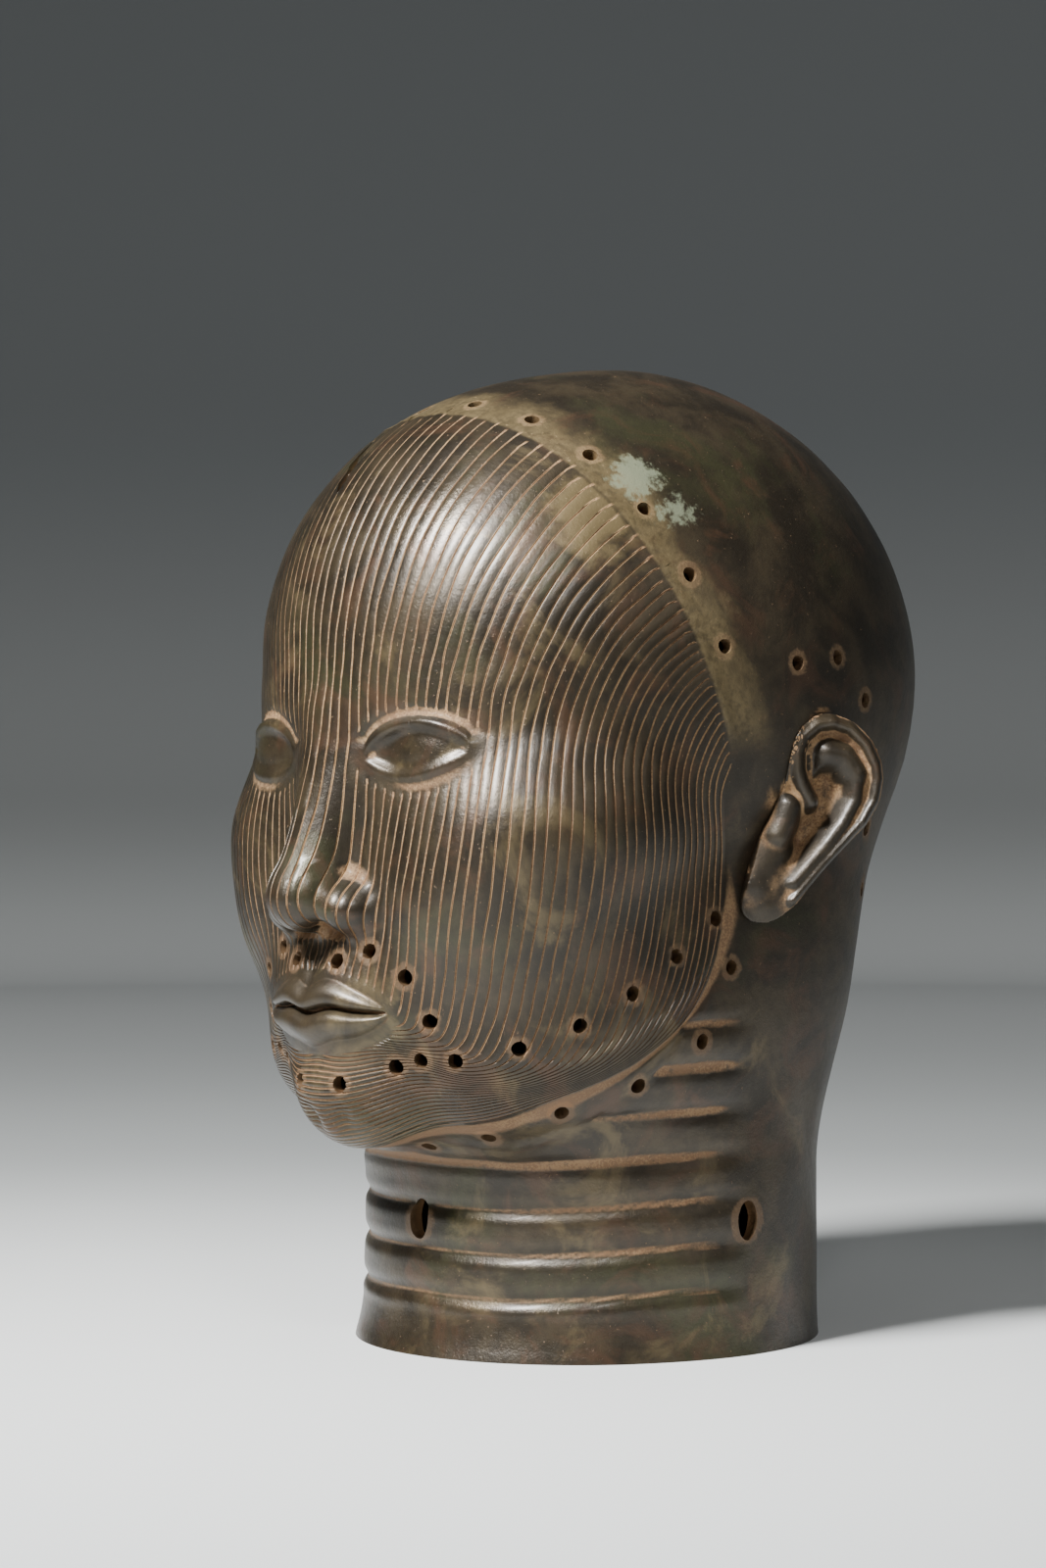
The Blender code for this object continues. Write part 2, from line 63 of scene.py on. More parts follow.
HEAD_UNITS = 285.0
UNIT = (TOP.z - BASE.z) / HEAD_UNITS
MILLIMETRE = 0.001
NOISE_SEED = 7

# mesh density: lines on each side, rows to a line, rows of the joint and the neck, columns around
LINES = 44
ROWS_TO_A_LINE = 3
JOINT_ROWS = 12
NECK_ROWS = 46
COLUMNS_AROUND = 174
CORE_FACE_ROWS = 16
CORE_ROWS = (4, 6)
CORE_AROUND = 36
LINE_HOLE_SIDES = 20
NECK_HOLE_SIDES = 28

# clay masses in head units: centre, radii and the width of the join
CRANIUM = ((0, 7, 193), (83, 101, 92))
MASSES = {
    "forehead": ((0, -38, 200), (69, 59, 67), 22),
    "midface": ((0, -40, 137), (65, 59, 72), 24),
    "cheekbone": ((43, -56, 149), (30, 35, 24), 18),
    "cheek": ((33, -62, 126), (31, 34, 32), 18),
    "jaw corner": ((46, -22, 100), (22, 40, 32), 20),
    "jaw": ((27, -50, 85), (31, 40, 25), 20),
    "muzzle": ((0, -80, 102), (31, 27, 23), 14),
    "chin": ((0, -84, 77), (22, 20, 18), 13),
}
BROW = ((6, -84, 184), (44, -70, 185), 10, 8, 12)
NAPE = ((0, 28, 120), (64, 46, 62), 26)
SOCKET = ((31, -112, 171), (17, 15, 10), 9)
EYEBALL = ((31, -80.5, 170.5), (16.5, 16, 15), 3)
NOSE_RIDGE = ((0, -94, 178), (0, -107, 135), 6.0, 9.0, 10)
NOSE_TIP = ((0, -109, 129.5), (9.5, 10, 8.5), 6)
NOSE_WING = ((12, -100, 127), (7.5, 10, 7.5), 5)
EYE_OUT = 31
EYE_LEVEL = 171
MOUTH_LEVEL = 99.0
LIPS_LEVEL = 98.5
NECK_HALF_WIDTH = 66.0
NECK_HALF_DEPTH = 67.0
NECK_TOP = 135.0
FOOT_FLARE = 5.0
RING_PITCH = 12.64
RING_FIRST = 18.05
RING_DEPTH = 1.52
JOINT_DEPTH = 0.5

# unevenness of the hand-made surface in metres: the size of its waves and their height
UNEVEN_FINE = (0.016, 0.00022)
UNEVEN_BROAD = (0.06, 0.0004)

# the ears: place of the middle (depth, height) and sizes in head units, flare in degrees
EAR_PLACE = (9.6, 152.4)
EAR_FRONT = 10.0
EAR_THICKNESS = 3.4
EAR_FLARE = 26.0
EAR_LIFT = 4.2
EAR_SKIN = 0.5
EAR_SPOKES = 150
EAR_FRONT_RINGS = 44
EAR_BACK_RINGS = 8
EAR_VOXEL = 0.0005
KEEP_EAR = 0.24

# the ear in its own plane, back and up from its middle: its outline, its raised parts, each a track
# with the height of its top, its half width and how far it has dropped there, the track where earth
# gathers, and the hollows, each a track with its half width and depth
EAR_OUTLINE = [
    (-17.5, -12.5), (-15, -4.8), (-12, 1), (-10, 6.7), (-9.5, 12.5), (-9.2, 18.3), (-7.4, 24), (-3, 27.7),
    (4, 29.6), (11.5, 27.7), (17.5, 23.1), (21, 17.3), (22, 12), (20.6, 4.8), (16.5, -1.9), (10.5, -7.7),
    (4.5, -13.5), (-0.5, -19.2), (-5.5, -25), (-12, -29.2), (-18, -29.2), (-21, -25.5), (-19.8, -19.5),
]
EAR_RIDGES = [
    ([(-1, 4.5), (-3.6, 9), (-5.0, 13), (-5.3, 18), (-3.6, 23), (1, 26.6), (5, 27.2)], 1.9, 2.4, 2.6),
    ([(5, 27.2), (11, 25.3), (15.6, 20.8), (18.4, 15), (18.9, 11), (17.8, 5), (14.2, -1)], 1.5, 1.9, 2.4),
    ([(14.2, -1), (8.6, -6.8), (3, -12.5), (-2, -18), (-7, -23.5)], 1.2, 1.6, 2.2),
    ([(5, 18.5), (9.5, 17.5), (13.2, 12.5)], 0.9, 3.6, 2.0),
    ([(13.2, 12.5), (12.6, 5), (9, -1.5), (4.2, -7.5), (-1, -13.2), (-6, -18.5)], 1.0, 2.5, 2.2),
    ([(-7.2, 3.5), (-8.6, -1), (-10.5, -5)], 1.6, 3.2, 2.0),
    ([(-8, -20), (-13, -24)], -0.4, 5.5, 1.6),
    ([(-12, -10), (-15.5, -19)], -0.3, 4.6, 1.6),
]
EAR_DUST = [(-9, 12), (-13, 0), (-14, -10), (-16, -24), (-7, -26)]
EAR_DIPS = [
    ([(4.5, 8.5), (1, 1), (-5, -8)], 5.5, 4.2),
    ([(1.5, 22.5), (-1.2, 17), (-1.4, 12)], 2.6, 3.0),
    ([(-5, -8), (-10.5, -11.5)], 3.2, 3.0),
    ([(10, 22.6), (15.2, 17), (16, 10), (12.6, 1), (6, -6.6), (0, -13)], 1.5, 1.3),
]

# the hairline, a leaning plane: its depth forward at its top and how far it moves back to a unit down
HAIRLINE_DEPTH = 61.5
HAIRLINE_SLOPE = 0.45
HAIRLINE_TOP = 266

# lines of pierced holes on one half, as azimuth and elevation from the middle of the head
HAIRLINE_PITCH = 22.3
HAIRLINE_BACK = 8.5
BEARD_LINE = [(0, -41.5), (24, -41), (45, -40), (62, -37), (80, -31)]
BEARD_PITCH = 18.05
JAW_LINE = [(0, -57.5), (22, -54.5), (43, -50.5), (62, -50), (76, -46), (83, -36)]
JAW_PITCH = 23.3
LIP_HOLES = [(9, 113), (19, 116), (30, 109), (35, 97), (31, 86)]
EAR_HOLES = [(3, 196), (20, 198), (34, 186), (49, 149), (53, 131)]
NECK_HOLE_LEVEL = 38.0

# how far from a hole's middle its earth ring starts, in head units
LINE_HOLE_RIM = 2.2
NECK_HOLE_RIM = 5.0

# the split in the forehead, on the right: middle in head units, outline along and across it
TEAR_MIDDLE = (-17.0, -76.0, 253.0)
TEAR_TURN = 24.0
TEAR_OUTLINE = [
    (-12, -0.4), (-7, -2.2), (-3, -0.9), (1, -2.6), (6, -1.6), (12, 0.2),
    (7, 1.4), (3, 0.7), (-1, 2.4), (-5, 0.9), (-8, 1.8),
]

# how the mesh rows run: elevation of each column on the midline, azimuth and elevation where it
# leaves the lined face, and azimuth down the neck, in degrees seen from the middle of the head
EYE_OF_ROWS = 170.0
COLUMNS = [
    (-32.5, 0, -51.5, 0), (-32, 20, -50.5, 18), (-31, 40, -48, 36), (-29, 58, -47, 52),
    (-25, 70, -43.5, 66), (-14, 77, -36, 79), (0, 79.5, -23, 91), (13, 76.5, -6.6, 101),
    (22, 83, 5, 111), (39, 95.5, 7, 121), (59, 117, 8, 133), (86, 138, 14, 146),
    (115, 155, 13, 157), (142, 168, 8, 168), (165, 180, 2, 180),
]
NECK_FRONT = 57.0
NECK_BACK = 95.0

# the stage in metres; lamps are right of, towards and above the camera's level axes, then width and watts
FLOOR_RADIUS = 2.0
FLOOR_CORNER = 0.35
BACKDROP_HEIGHT = 3.0
LAMPS = {
    "key": ((-0.62, 0.70, 1.06), 0.30, 66),
    "sheen": ((0.12, 1.20, 1.00), 0.26, 5),
    "fill": ((1.3, 1.0, 0.9), 1.0, 2),
    "floor glow": ((-0.1, 0.2, 2.3), 1.4, 2),
}
LAMPS_AIM = (0, 0, 0.16)
ROOM_COLOUR = (0.62, 0.66, 0.68, 1)
ROOM_STRENGTH = 0.19


def length(v):
    return np.sqrt((v * v).sum(-1))


def ellipsoid(p, centre, radii):
    q = (p - np.array(centre)) / np.array(radii)
    near = length(q)
    slope = np.maximum(length(q / np.array(radii)), 1e-9)
    return near * (near - 1) / slope


def rod(p, start, end, start_radius, end_radius):
    a = np.array(start, float)
    run = np.array(end, float) - a
    along = np.clip(((p - a) @ run) / (run @ run), 0, 1)
    return length(p - a - along[..., None] * run) - (start_radius + (end_radius - start_radius) * along)


def join(a, b, width):
    mix = np.clip(0.5 + 0.5 * (b - a) / width, 0, 1)
    return b * (1 - mix) + a * mix - width * mix * (1 - mix)


def cut(a, b, width):
    return -join(-a, b, width)


def bump(x, width):
    return np.exp(-((x / width) ** 2))


def step(x, low, high):
    t = np.clip((x - low) / (high - low), 0, 1)
    return t * t * (3 - 2 * t)


def neck(p):
    flare = np.exp(-np.maximum(p[..., 2], 0) / 9.0)
    front = np.clip(-p[..., 1] / 40, 0, 1)
    half_width = NECK_HALF_WIDTH + 1.5 * step(p[..., 2], 50, 110) + 1.2 * flare
    half_depth = NECK_HALF_DEPTH + FOOT_FLARE * flare * front
    q = np.stack([p[..., 0] / half_width, (p[..., 1] - 1.0) / half_depth], -1)
    near = length(q)
    slope = np.maximum(length(q / np.stack([half_width, half_depth], -1)), 1e-9)
    return -join(-near * (near - 1) / slope, NECK_TOP - p[..., 2], 20)


def form(p, with_nose=True):
    """signed distance to the smooth head, in head units"""
    p = p * np.array([1.0, 1.0, 1.0])
    p[..., 0] = np.abs(p[..., 0])
    f = ellipsoid(p, *CRANIUM)
    for centre, radii, width in MASSES.values():
        f = join(f, ellipsoid(p, centre, radii), width)
    f = join(f, rod(p, *BROW[:4]), BROW[4])
    f = join(f, neck(p), 14)
    f = join(f, ellipsoid(p, *NAPE[:2]), NAPE[2])
    f = cut(f, ellipsoid(p, *SOCKET[:2]), SOCKET[2])
    f = join(f, ellipsoid(p, *EYEBALL[:2]), EYEBALL[2])
    if with_nose:
        f = join(f, rod(p, *NOSE_RIDGE[:4]), NOSE_RIDGE[4])
        f = join(f, ellipsoid(p, *NOSE_TIP[:2]), NOSE_TIP[2])
        f = join(f, ellipsoid(p, *NOSE_WING[:2]), NOSE_WING[2])
    return f


def core_form(p):
    """the clay core: the plain form one wall inside the head"""
    return form(p, with_nose=False) + bpy.context.scene.head_skin.wall / UNIT


def direction(azimuth, elevation):
    a, e = np.radians(azimuth), np.radians(elevation)
    return np.stack([np.sin(a) * np.cos(e), -np.cos(a) * np.cos(e), np.sin(e)], -1)


def through(values, t):
    """smooth curve through evenly spaced values, t from 0 to 1"""
    v = np.asarray(values, float)
    last = len(v) - 1
    x = np.clip(t, 0, 1) * last
    i = np.minimum(x.astype(int), last - 1)
    f = x - i
    v = np.concatenate([[2 * v[0] - v[1]], v, [2 * v[-1] - v[-2]]])
    a, b, c, d = v[i], v[i + 1], v[i + 2], v[i + 3]
    return 0.5 * (2 * b + (c - a) * f + (2 * a - 5 * b + 4 * c - d) * f**2 + (3 * b - a - 3 * c + d) * f**3)


def meet(start, ray, distance=form):
    """where rays that start inside the form leave it"""
    low = np.zeros(start.shape[:-1])
    high = np.full_like(low, 190.0)
    for _ in range(18):
        middle = (low + high) / 2
        inside = distance(start + middle[..., None] * ray) < 0
        low = np.where(inside, middle, low)
        high = np.where(inside, high, middle)
    return start + low[..., None] * ray


def normals(p, distance=form, reach=0.02):
    slopes = []
    for axis in np.eye(3):
        slopes.append(distance(p + axis * reach) - distance(p - axis * reach))
    g = np.stack(slopes, -1)
    return g / np.maximum(length(g), 1e-12)[..., None]


def onto(p, distance, steps):
    for _ in range(steps):
        p = p - 0.8 * distance(p)[..., None] * normals(p, distance)
    return p


def face_rows(across, t, distance):
    """rows from the midline slit to the edge of the lined face, then over the scalp"""
    columns = np.array(COLUMNS, float)
    middle = direction(np.zeros_like(t), through(columns[:, 0], t))
    edge = direction(through(columns[:, 1], t), through(columns[:, 2], t))
    across = across ** (1 + 0.7 * np.clip(1 - t / 0.26, 0, 1))
    angle = np.arccos(np.clip((middle * edge).sum(-1), -1, 1))
    ray = np.sin((1 - across) * angle)[..., None] * middle + np.sin(across * angle)[..., None] * edge
    ray = ray / length(ray)[..., None]
    return meet(np.zeros_like(ray) + np.array([0, 0, EYE_OF_ROWS]), ray, distance)


def neck_rows(down, t, distance):
    """level rows from the neck's top, which rises towards the back, to the base"""
    azimuth = np.radians(through(np.array(COLUMNS, float)[:, 3], t))
    top = NECK_FRONT + (NECK_BACK - NECK_FRONT) * step(np.degrees(azimuth), 25, 80)
    ray = np.stack([np.sin(azimuth), -np.cos(azimuth), np.zeros_like(t)], -1)
    start = np.stack([np.zeros_like(t), np.zeros_like(t), top * (1 - down)], -1)
    return meet(start, ray, distance)


def even_out(p, distance, passes):
    """slides the grid along the form until its cells are even"""
    for _ in range(passes):
        pull = np.zeros_like(p)
        pull[1:-1, 1:-1] = (p[:-2, 1:-1] + p[2:, 1:-1] + p[1:-1, :-2] + p[1:-1, 2:]) / 4 - p[1:-1, 1:-1]
        pull[1:-1, 0] = (p[:-2, 0] + p[2:, 0]) / 2 - p[1:-1, 0]
        pull[1:-1, -1] = (p[:-2, -1] + p[2:, -1]) / 2 - p[1:-1, -1]
        pull[0, 1:-1] = (p[0, :-2] + p[0, 2:]) / 2 - p[0, 1:-1]
        n = normals(p, distance)
        p = p + 0.5 * (pull - (pull * n).sum(-1)[..., None] * n)
        p = onto(p, distance, 2)
        p[0, :, 0] = 0
        p[:, 0, 0] = 0
        p[:, -1, 0] = 0
        p[-1, :, 2] = 0
    return p


def half_grid(shares, rows, around, distance, passes):
    """points of one half of the head, by row from the midline to the base and by column"""
    joint, throat = rows
    along = np.linspace(0, 1, around + 1)[None, :]
    across = shares[:, None] + 0 * along
    down = np.linspace(0, 1, throat + 1)[:, None] + 0 * along
    upper = face_rows(across, along + 0 * across, distance)
    lower = neck_rows(down, along + 0 * down, distance)
    share = np.linspace(0, 1, joint + 1)[1:-1, None, None]
    between = onto(upper[-1] * (1 - share) + lower[0] * share, distance, 8)
    return even_out(np.concatenate([upper, between, lower]), distance, passes)


def eyes(p):
    """lids and the fold above them, on a generic eye"""
    across = (p[..., 0] - EYE_OUT) / 15.5
    bow = np.clip(1 - across**2, 0, 1)
    middle = EYE_LEVEL - 0.5 + 0.8 * across
    above = p[..., 2] - (middle + 7.0 * bow**0.7)
    under = (middle - 5.2 * bow**0.8) - p[..., 2]
    near = bump(across, 1.25) * step(-p[..., 1], 60, 75)
    inside = step(-np.maximum(above, under), -0.3, 1.6) * step(bow, 0, 0.05)
    lids = 1.5 * bump(above - 1.4, 1.5) + 1.0 * bump(under - 1.2, 1.3)
    fold = -0.8 * bump(above - 4.6, 1.1)
    return near * (lids * step(1.25 - np.abs(across), 0, 0.3) + fold) - 0.8 * inside


def mouth(p):
    """closed lips, the dip above them and the hollow below, on a generic mouth"""
    across = p[..., 0] / 25
    bow = np.clip(1 - across**2, 0, 1)
    line = MOUTH_LEVEL + 0.9 * bump(p[..., 0] - 9, 5) - 0.6 * bump(p[..., 0], 4)
    up = (p[..., 2] - line) / np.maximum(8.6 * bow**0.75 - 1.6 * bump(p[..., 0], 3.5), 0.3)
    down = (line - p[..., 2]) / np.maximum(10.0 * bow**0.65, 0.3)
    front = step(-p[..., 1], 70, 85)
    upper = 2.6 * np.sin(np.pi * np.clip(up, 0, 1) ** 0.75) * bow**0.5
    lower = 3.4 * np.sin(np.pi * np.clip(down, 0, 1) ** 0.8) * bow**0.5
    parting = -1.8 * bump(p[..., 2] - line, 0.9) * bow**0.3
    hollow = -1.4 * bump(p[..., 2] - 85, 4) * bump(p[..., 0], 16)
    groove = -0.8 * bump(p[..., 0], 2.4) * step(p[..., 2], 104, 110) * step(120 - p[..., 2], 0, 5)
    return front * (upper + lower + parting + hollow + groove)


def nostrils(p, n):
    near = bump(p[..., 0] - 6.8, 3.6) * bump(p[..., 1] + 104, 4.6)
    return -5.5 * near * step(-n[..., 2], 0.2, 0.7) * step(132 - p[..., 2], 0, 5)


def hairline(p):
    """how far a point lies behind the hairline, in head units"""
    return p[..., 1] + HAIRLINE_DEPTH - HAIRLINE_SLOPE * (HAIRLINE_TOP - p[..., 2])


def hairline_ridge(p):
    return 0.45 * bump(hairline(p) - 1.2, 1.3) * step(p[..., 2], 172, 180)


def neck_rings(p):
    """soft rolls round the front of the neck"""
    azimuth = np.arctan2(np.abs(p[..., 0]), -p[..., 1])
    level = p[..., 2] + 1.2 * np.sin(3 * azimuth + 0.4) - RING_FIRST
    from_crease = np.abs((level / RING_PITCH + 0.5) % 1 - 0.5) * RING_PITCH
    roll = 0.45 - 1.45 * bump(from_crease, 2.0)
    inside = length(p[..., :2]) < NECK_HALF_WIDTH + 9
    span = step(level, -6, -2) * step(6.4 - level / RING_PITCH, 0, 0.6)
    fade = 1 - step(azimuth, 1.35, 1.62)
    return RING_DEPTH / 1.45 * roll * inside * span * fade


def relief(p, n):
    """carving above the smooth form, the same on both sides"""
    p = p * np.where(p[..., :1] < 0, np.array([-1, 1, 1]), 1)
    return eyes(p) + mouth(p) + nostrils(p, n) + hairline_ridge(p) + neck_rings(p)


def lined(p):
    """1 where the skin carries the fine lines, 0 on the scalp, the eyes and the lips"""
    eye = np.sqrt(((np.abs(p[..., 0]) - EYE_OUT) / 20) ** 2 + ((p[..., 2] - EYE_LEVEL) / 12) ** 2)
    lips = np.sqrt((p[..., 0] / 28) ** 2 + ((p[..., 2] - LIPS_LEVEL) / 12.5) ** 2)
    front = step(-p[..., 1], 55, 65)
    clear = step(eye, 0.92, 1.05) * step(lips, 0.92, 1.05)
    return step(-hairline(p), 0.3, 1.6) * (1 - front * (1 - clear))


def wobble(rows, columns, spacing, seed):
    """smooth hand-made wander of each line, from -1 to 1"""
    knots = np.random.default_rng(seed).uniform(-1, 1, (rows, columns // spacing + 3))
    x = np.arange(columns) / spacing
    i = x.astype(int)
    f = x - i
    f = f * f * (3 - 2 * f)
    return knots[:, i] * (1 - f) + knots[:, i + 1] * f


def line_rows():
    """rows of the lined face, evenly spaced at first, as shares of the way across"""
    inner = (np.arange(LINES * ROWS_TO_A_LINE) + 0.5) / ROWS_TO_A_LINE
    return np.concatenate([[0], inner, [LINES]]) / LINES


def skin_grid(settings):
    """points of one half of the smooth skin, and the marks of its lines and of the joint under the jaw"""
    p = half_grid(line_rows(), (JOINT_ROWS, NECK_ROWS), COLUMNS_AROUND, form, 6)
    bottom = 2 + ROWS_TO_A_LINE * np.arange(LINES)
    mask = lined(p[bottom])
    pitch = length(p[bottom + 1] - p[bottom - 1]) * ROWS_TO_A_LINE / 2
    narrow = np.clip(1 - settings.line_width / 2 / UNIT / (pitch / ROWS_TO_A_LINE), 0, 0.9)
    wander = 0.10 * wobble(LINES, COLUMNS_AROUND + 1, 5, 4)
    wander[:, [0, -1]] = 0
    shift = (p[bottom + 1] - p[bottom - 1]) * (ROWS_TO_A_LINE / 2 * wander * mask)[..., None]
    for rim in (bottom - 1, bottom + 1):
        p[rim] = p[rim] + (p[bottom] - p[rim]) * (narrow * mask)[..., None] + shift
    p[bottom] = p[bottom] + shift
    p[:, 0, 0] = 0
    depth = np.zeros(p.shape[:2])
    depth[bottom] = 1
    from_joint = np.arange(len(p))[:, None] - LINES * ROWS_TO_A_LINE - 3
    joint = bump(from_joint, 2.4) * step(150 - p[..., 2], 0, 25) * step(20 - p[..., 1], 0, 20)
    return p, {"line": depth, "joint": joint}


def shell(points, marks=None):
    """a closed mesh from one half's grid: mirrored at the midplane and filled across the base"""
    bm = bmesh.new()
    layers = {bm.verts.layers.float.new(name): values for name, values in (marks or {}).items()}
    rings = len(points) - 1
    around = len(points[0]) - 1
    bmesh.ops.create_grid(bm, x_segments=rings, y_segments=around, size=0.5)
    for v in bm.verts:
        i = round((v.co.x + 0.5) * rings)
        j = round((v.co.y + 0.5) * around)
        v.co = Vector(points[i, j]) * UNIT
        for layer, values in layers.items():
            v[layer] = values[i, j]
        if i == 0 or j in (0, around):
            v.co.x = 0
    bmesh.ops.mirror(bm, geom=bm.verts[:] + bm.edges[:] + bm.faces[:], axis="X", merge_dist=1e-7)
    bmesh.ops.holes_fill(bm, edges=bm.edges[:], sides=0)
    bmesh.ops.recalc_face_normals(bm, faces=bm.faces[:])
    return bm


def points_of(bm):
    return np.array([v.co for v in bm.verts], float) / UNIT


def at_features(p):
    """the eyes and the lips, which need finer faces"""
    eye = ((np.abs(p[:, 0]) - EYE_OUT) / 23) ** 2 + ((p[:, 2] - EYE_LEVEL) / 14) ** 2
    lips = (p[:, 0] / 30) ** 2 + ((p[:, 2] - LIPS_LEVEL) / 14) ** 2
    return ((eye < 1) | (lips < 1)) & (p[:, 1] < -50)


def at_nose(p):
    return (np.abs(p[:, 0]) < 27) & (np.abs(p[:, 2] - 128) < 14) & (p[:, 1] < -80)


def at_holes(p):
    near = np.zeros(len(p), bool)
    for place in line_hole_places()[0]:
        near |= length(p - place) < 9
    return near


def refine(bm, region, longest):
    """halves the edges of a region that are longer than a length, in head units"""
    inside = region(points_of(bm))
    bm.verts.index_update()
    limit = longest * UNIT
    edges = [e for e in bm.edges if e.calc_length() > limit and all(inside[v.index] for v in e.verts)]
    bmesh.ops.subdivide_edges(bm, edges=edges, cuts=1, use_grid_fill=True)


def press_in(bm, settings):
    """moves each vertex onto the form and adds the relief and the lines"""
    layer = bm.verts.layers.float["line"]
    joint_layer = bm.verts.layers.float["joint"]
    start = points_of(bm)
    p = onto(start, form, 2)
    foot = start[:, 2] < 0.01
    p[foot] = start[foot]
    n = normals(p)
    depth = np.array([v[layer] for v in bm.verts]) * lined(p)
    uneven = 1 + 0.25 * np.array([noise.noise(Vector(q) / 11) for q in p])
    joint = np.array([v[joint_layer] for v in bm.verts])
    carved = relief(p, n) - JOINT_DEPTH * joint - settings.line_depth / UNIT * uneven * depth
    p = p + carved[:, None] * n
    for v, place, share in zip(bm.verts, p, depth):
        v.co = Vector(place) * UNIT
        v[layer] = share


def add_object(name, bm):
    mesh = bpy.data.meshes.new(name)
    bm.to_mesh(mesh)
    bm.free()
    piece = bpy.data.objects.new(name, mesh)
    bpy.context.scene.collection.objects.link(piece)
    return piece


def hand_made(bm):
    """small unevenness that differs from side to side"""
    for v in bm.verts:
        if v.co.z > 0.5 * MILLIMETRE:
            fine = noise.noise_vector(v.co / UNEVEN_FINE[0])
            broad = noise.noise_vector(v.co / UNEVEN_BROAD[0] + Vector((3, 5, 7)))
            v.co += UNEVEN_FINE[1] * fine + UNEVEN_BROAD[1] * broad


def off_track(p, track):
    """distance of points in a plane from a track of straight runs"""
    nearest = np.full(len(p), 1e9)
    for a, b in zip(np.array(track, float), np.array(track[1:], float)):
        run = b - a
        along = np.clip((p - a) @ run / (run @ run), 0, 1)
        nearest = np.minimum(nearest, length(p - a - along[:, None] * run))
    return nearest


def ear_height(p):
    """front of the ear above its own plane, in head units"""
    dips = np.full(len(p), -2.4)
    for track, half_width, depth in EAR_DIPS:
        dips = dips - depth * (1 - step(off_track(p, track), 0.35 * half_width, 1.25 * half_width))
    surface = dips
    for track, top, half_width, drop in EAR_RIDGES:
        surface = -join(-surface, drop * (off_track(p, track) / half_width) ** 2 - top, 1.5)
    return surface


def ear_frame():
    """the ear's middle and the directions out of its plane and back along it"""
    flare = math.radians(EAR_FLARE)
    normal = np.array([math.cos(flare), -math.sin(flare), 0])
    back = np.array([math.sin(flare), math.cos(flare), 0])
    on_head = meet(np.array([[0.0, EAR_PLACE[0] - EAR_FRONT, EAR_PLACE[1]]]), np.array([[1.0, 0, 0]]))[0]
    return np.array([on_head[0] + EAR_FRONT * math.sin(flare) + EAR_LIFT, *EAR_PLACE]), normal, back


def ear_hollows(p, hollow):
    """the hollows with the ears' own worked out from their shape, and none where they meet the head"""
    middle, normal, back = ear_frame()
    q = p * np.where(p[:, :1] < 0, np.array([-1, 1, 1]), 1) - middle
    flat = np.stack([q @ back, q[:, 2]], -1)
    height = ear_height(flat)
    level = np.zeros(len(p))
    for turn in np.radians(np.arange(0, 360, 45)):
        level = level + ear_height(flat + 2.4 * np.array([np.cos(turn), np.sin(turn)])) / 8
    near = step(length(flat / np.array([33, 40])), 1.1, 0.9) * step(q @ normal, -40, -30)
    plate = step(length(flat / np.array([26, 36])), 1.15, 0.95)
    on_front = near * plate * step(np.abs(q @ normal - height), 2.0, 1.0)
    dusty = 0.10 * (1 - step(off_track(flat, EAR_DUST), 3, 9))
    front = step(10 - p[:, 1], 0, 25)
    return hollow * front * (1 - near) + (0.24 * (level - height) + dusty) * on_front


def ear(settings, side):
    """one ear: a modelled plate facing out and forward, whose back narrows to a root in the wall"""
    rings = EAR_FRONT_RINGS + EAR_BACK_RINGS
    middle, normal, back = ear_frame()
    up = np.array([0, 0, 1.0])
    bm = bmesh.new()
    bmesh.ops.create_grid(bm, x_segments=rings - 1, y_segments=EAR_SPOKES, size=0.5)
    verts = bm.verts[:]
    grid = np.array([[v.co.x + 0.5, v.co.y + 0.5] for v in verts]) * np.array([rings - 1, EAR_SPOKES])
    grid = grid.round().astype(int)
    out = np.minimum((grid[:, 0] + 1) / EAR_FRONT_RINGS, 1.0)
    inward = np.clip((grid[:, 0] + 1 - EAR_FRONT_RINGS) / EAR_BACK_RINGS, 0, 1)
    outline = np.array(EAR_OUTLINE + EAR_OUTLINE[:1], float)
    share = grid[:, 1] / EAR_SPOKES
    rim = np.stack([through(outline[:, 0], share), through(outline[:, 1], share)], -1)
    place = out[:, None] * rim
    front = middle + place[:, :1] * back + place[:, 1:] * up + ear_height(place)[:, None] * normal
    outwards = np.zeros_like(front) + np.array([1.0, 0, 0])
    skin = meet(front * np.array([0, 1, 1]), outwards)
    front[:, 0] = np.maximum(front[:, 0], skin[:, 0] + EAR_SKIN)
    root = middle + (0.55 * rim[:, :1] - 3.5) * back + 0.72 * rim[:, 1:] * up
    root = meet(root * np.array([0, 1, 1]), outwards)
    root = root - np.array([0.6 * settings.wall / UNIT, 0, 0])
    bulge = np.sqrt(np.sin(np.pi * inward))[:, None] * (-EAR_THICKNESS * normal)
    shape = front * (1 - inward)[:, None] + root * inward[:, None] + bulge
    shape[:, 0] *= side
    for v, place in zip(verts, shape):
        v.co = Vector(place) * UNIT
    bmesh.ops.remove_doubles(bm, verts=bm.verts[:], dist=1e-6)
    bmesh.ops.holes_fill(bm, edges=bm.edges[:], sides=0)
    bmesh.ops.recalc_face_normals(bm, faces=bm.faces[:])
    piece = add_object("ear blank", bm)
    even = piece.modifiers.new("one skin", "REMESH")
    even.mode = "VOXEL"
    even.voxel_size = EAR_VOXEL
    even.use_smooth_shade = True
    thin = piece.modifiers.new("fewer facets", "DECIMATE")
    thin.ratio = KEEP_EAR
    return piece


def spaced(track, pitch):
    """points along a track from the midline, the first half a pitch out"""
    run = np.concatenate([[0], np.cumsum(length(np.diff(track, axis=0)))])
    marks = np.arange(pitch / 2, run[-1], pitch)
    return np.stack([np.interp(marks, run, track[:, k]) for k in range(3)], -1)


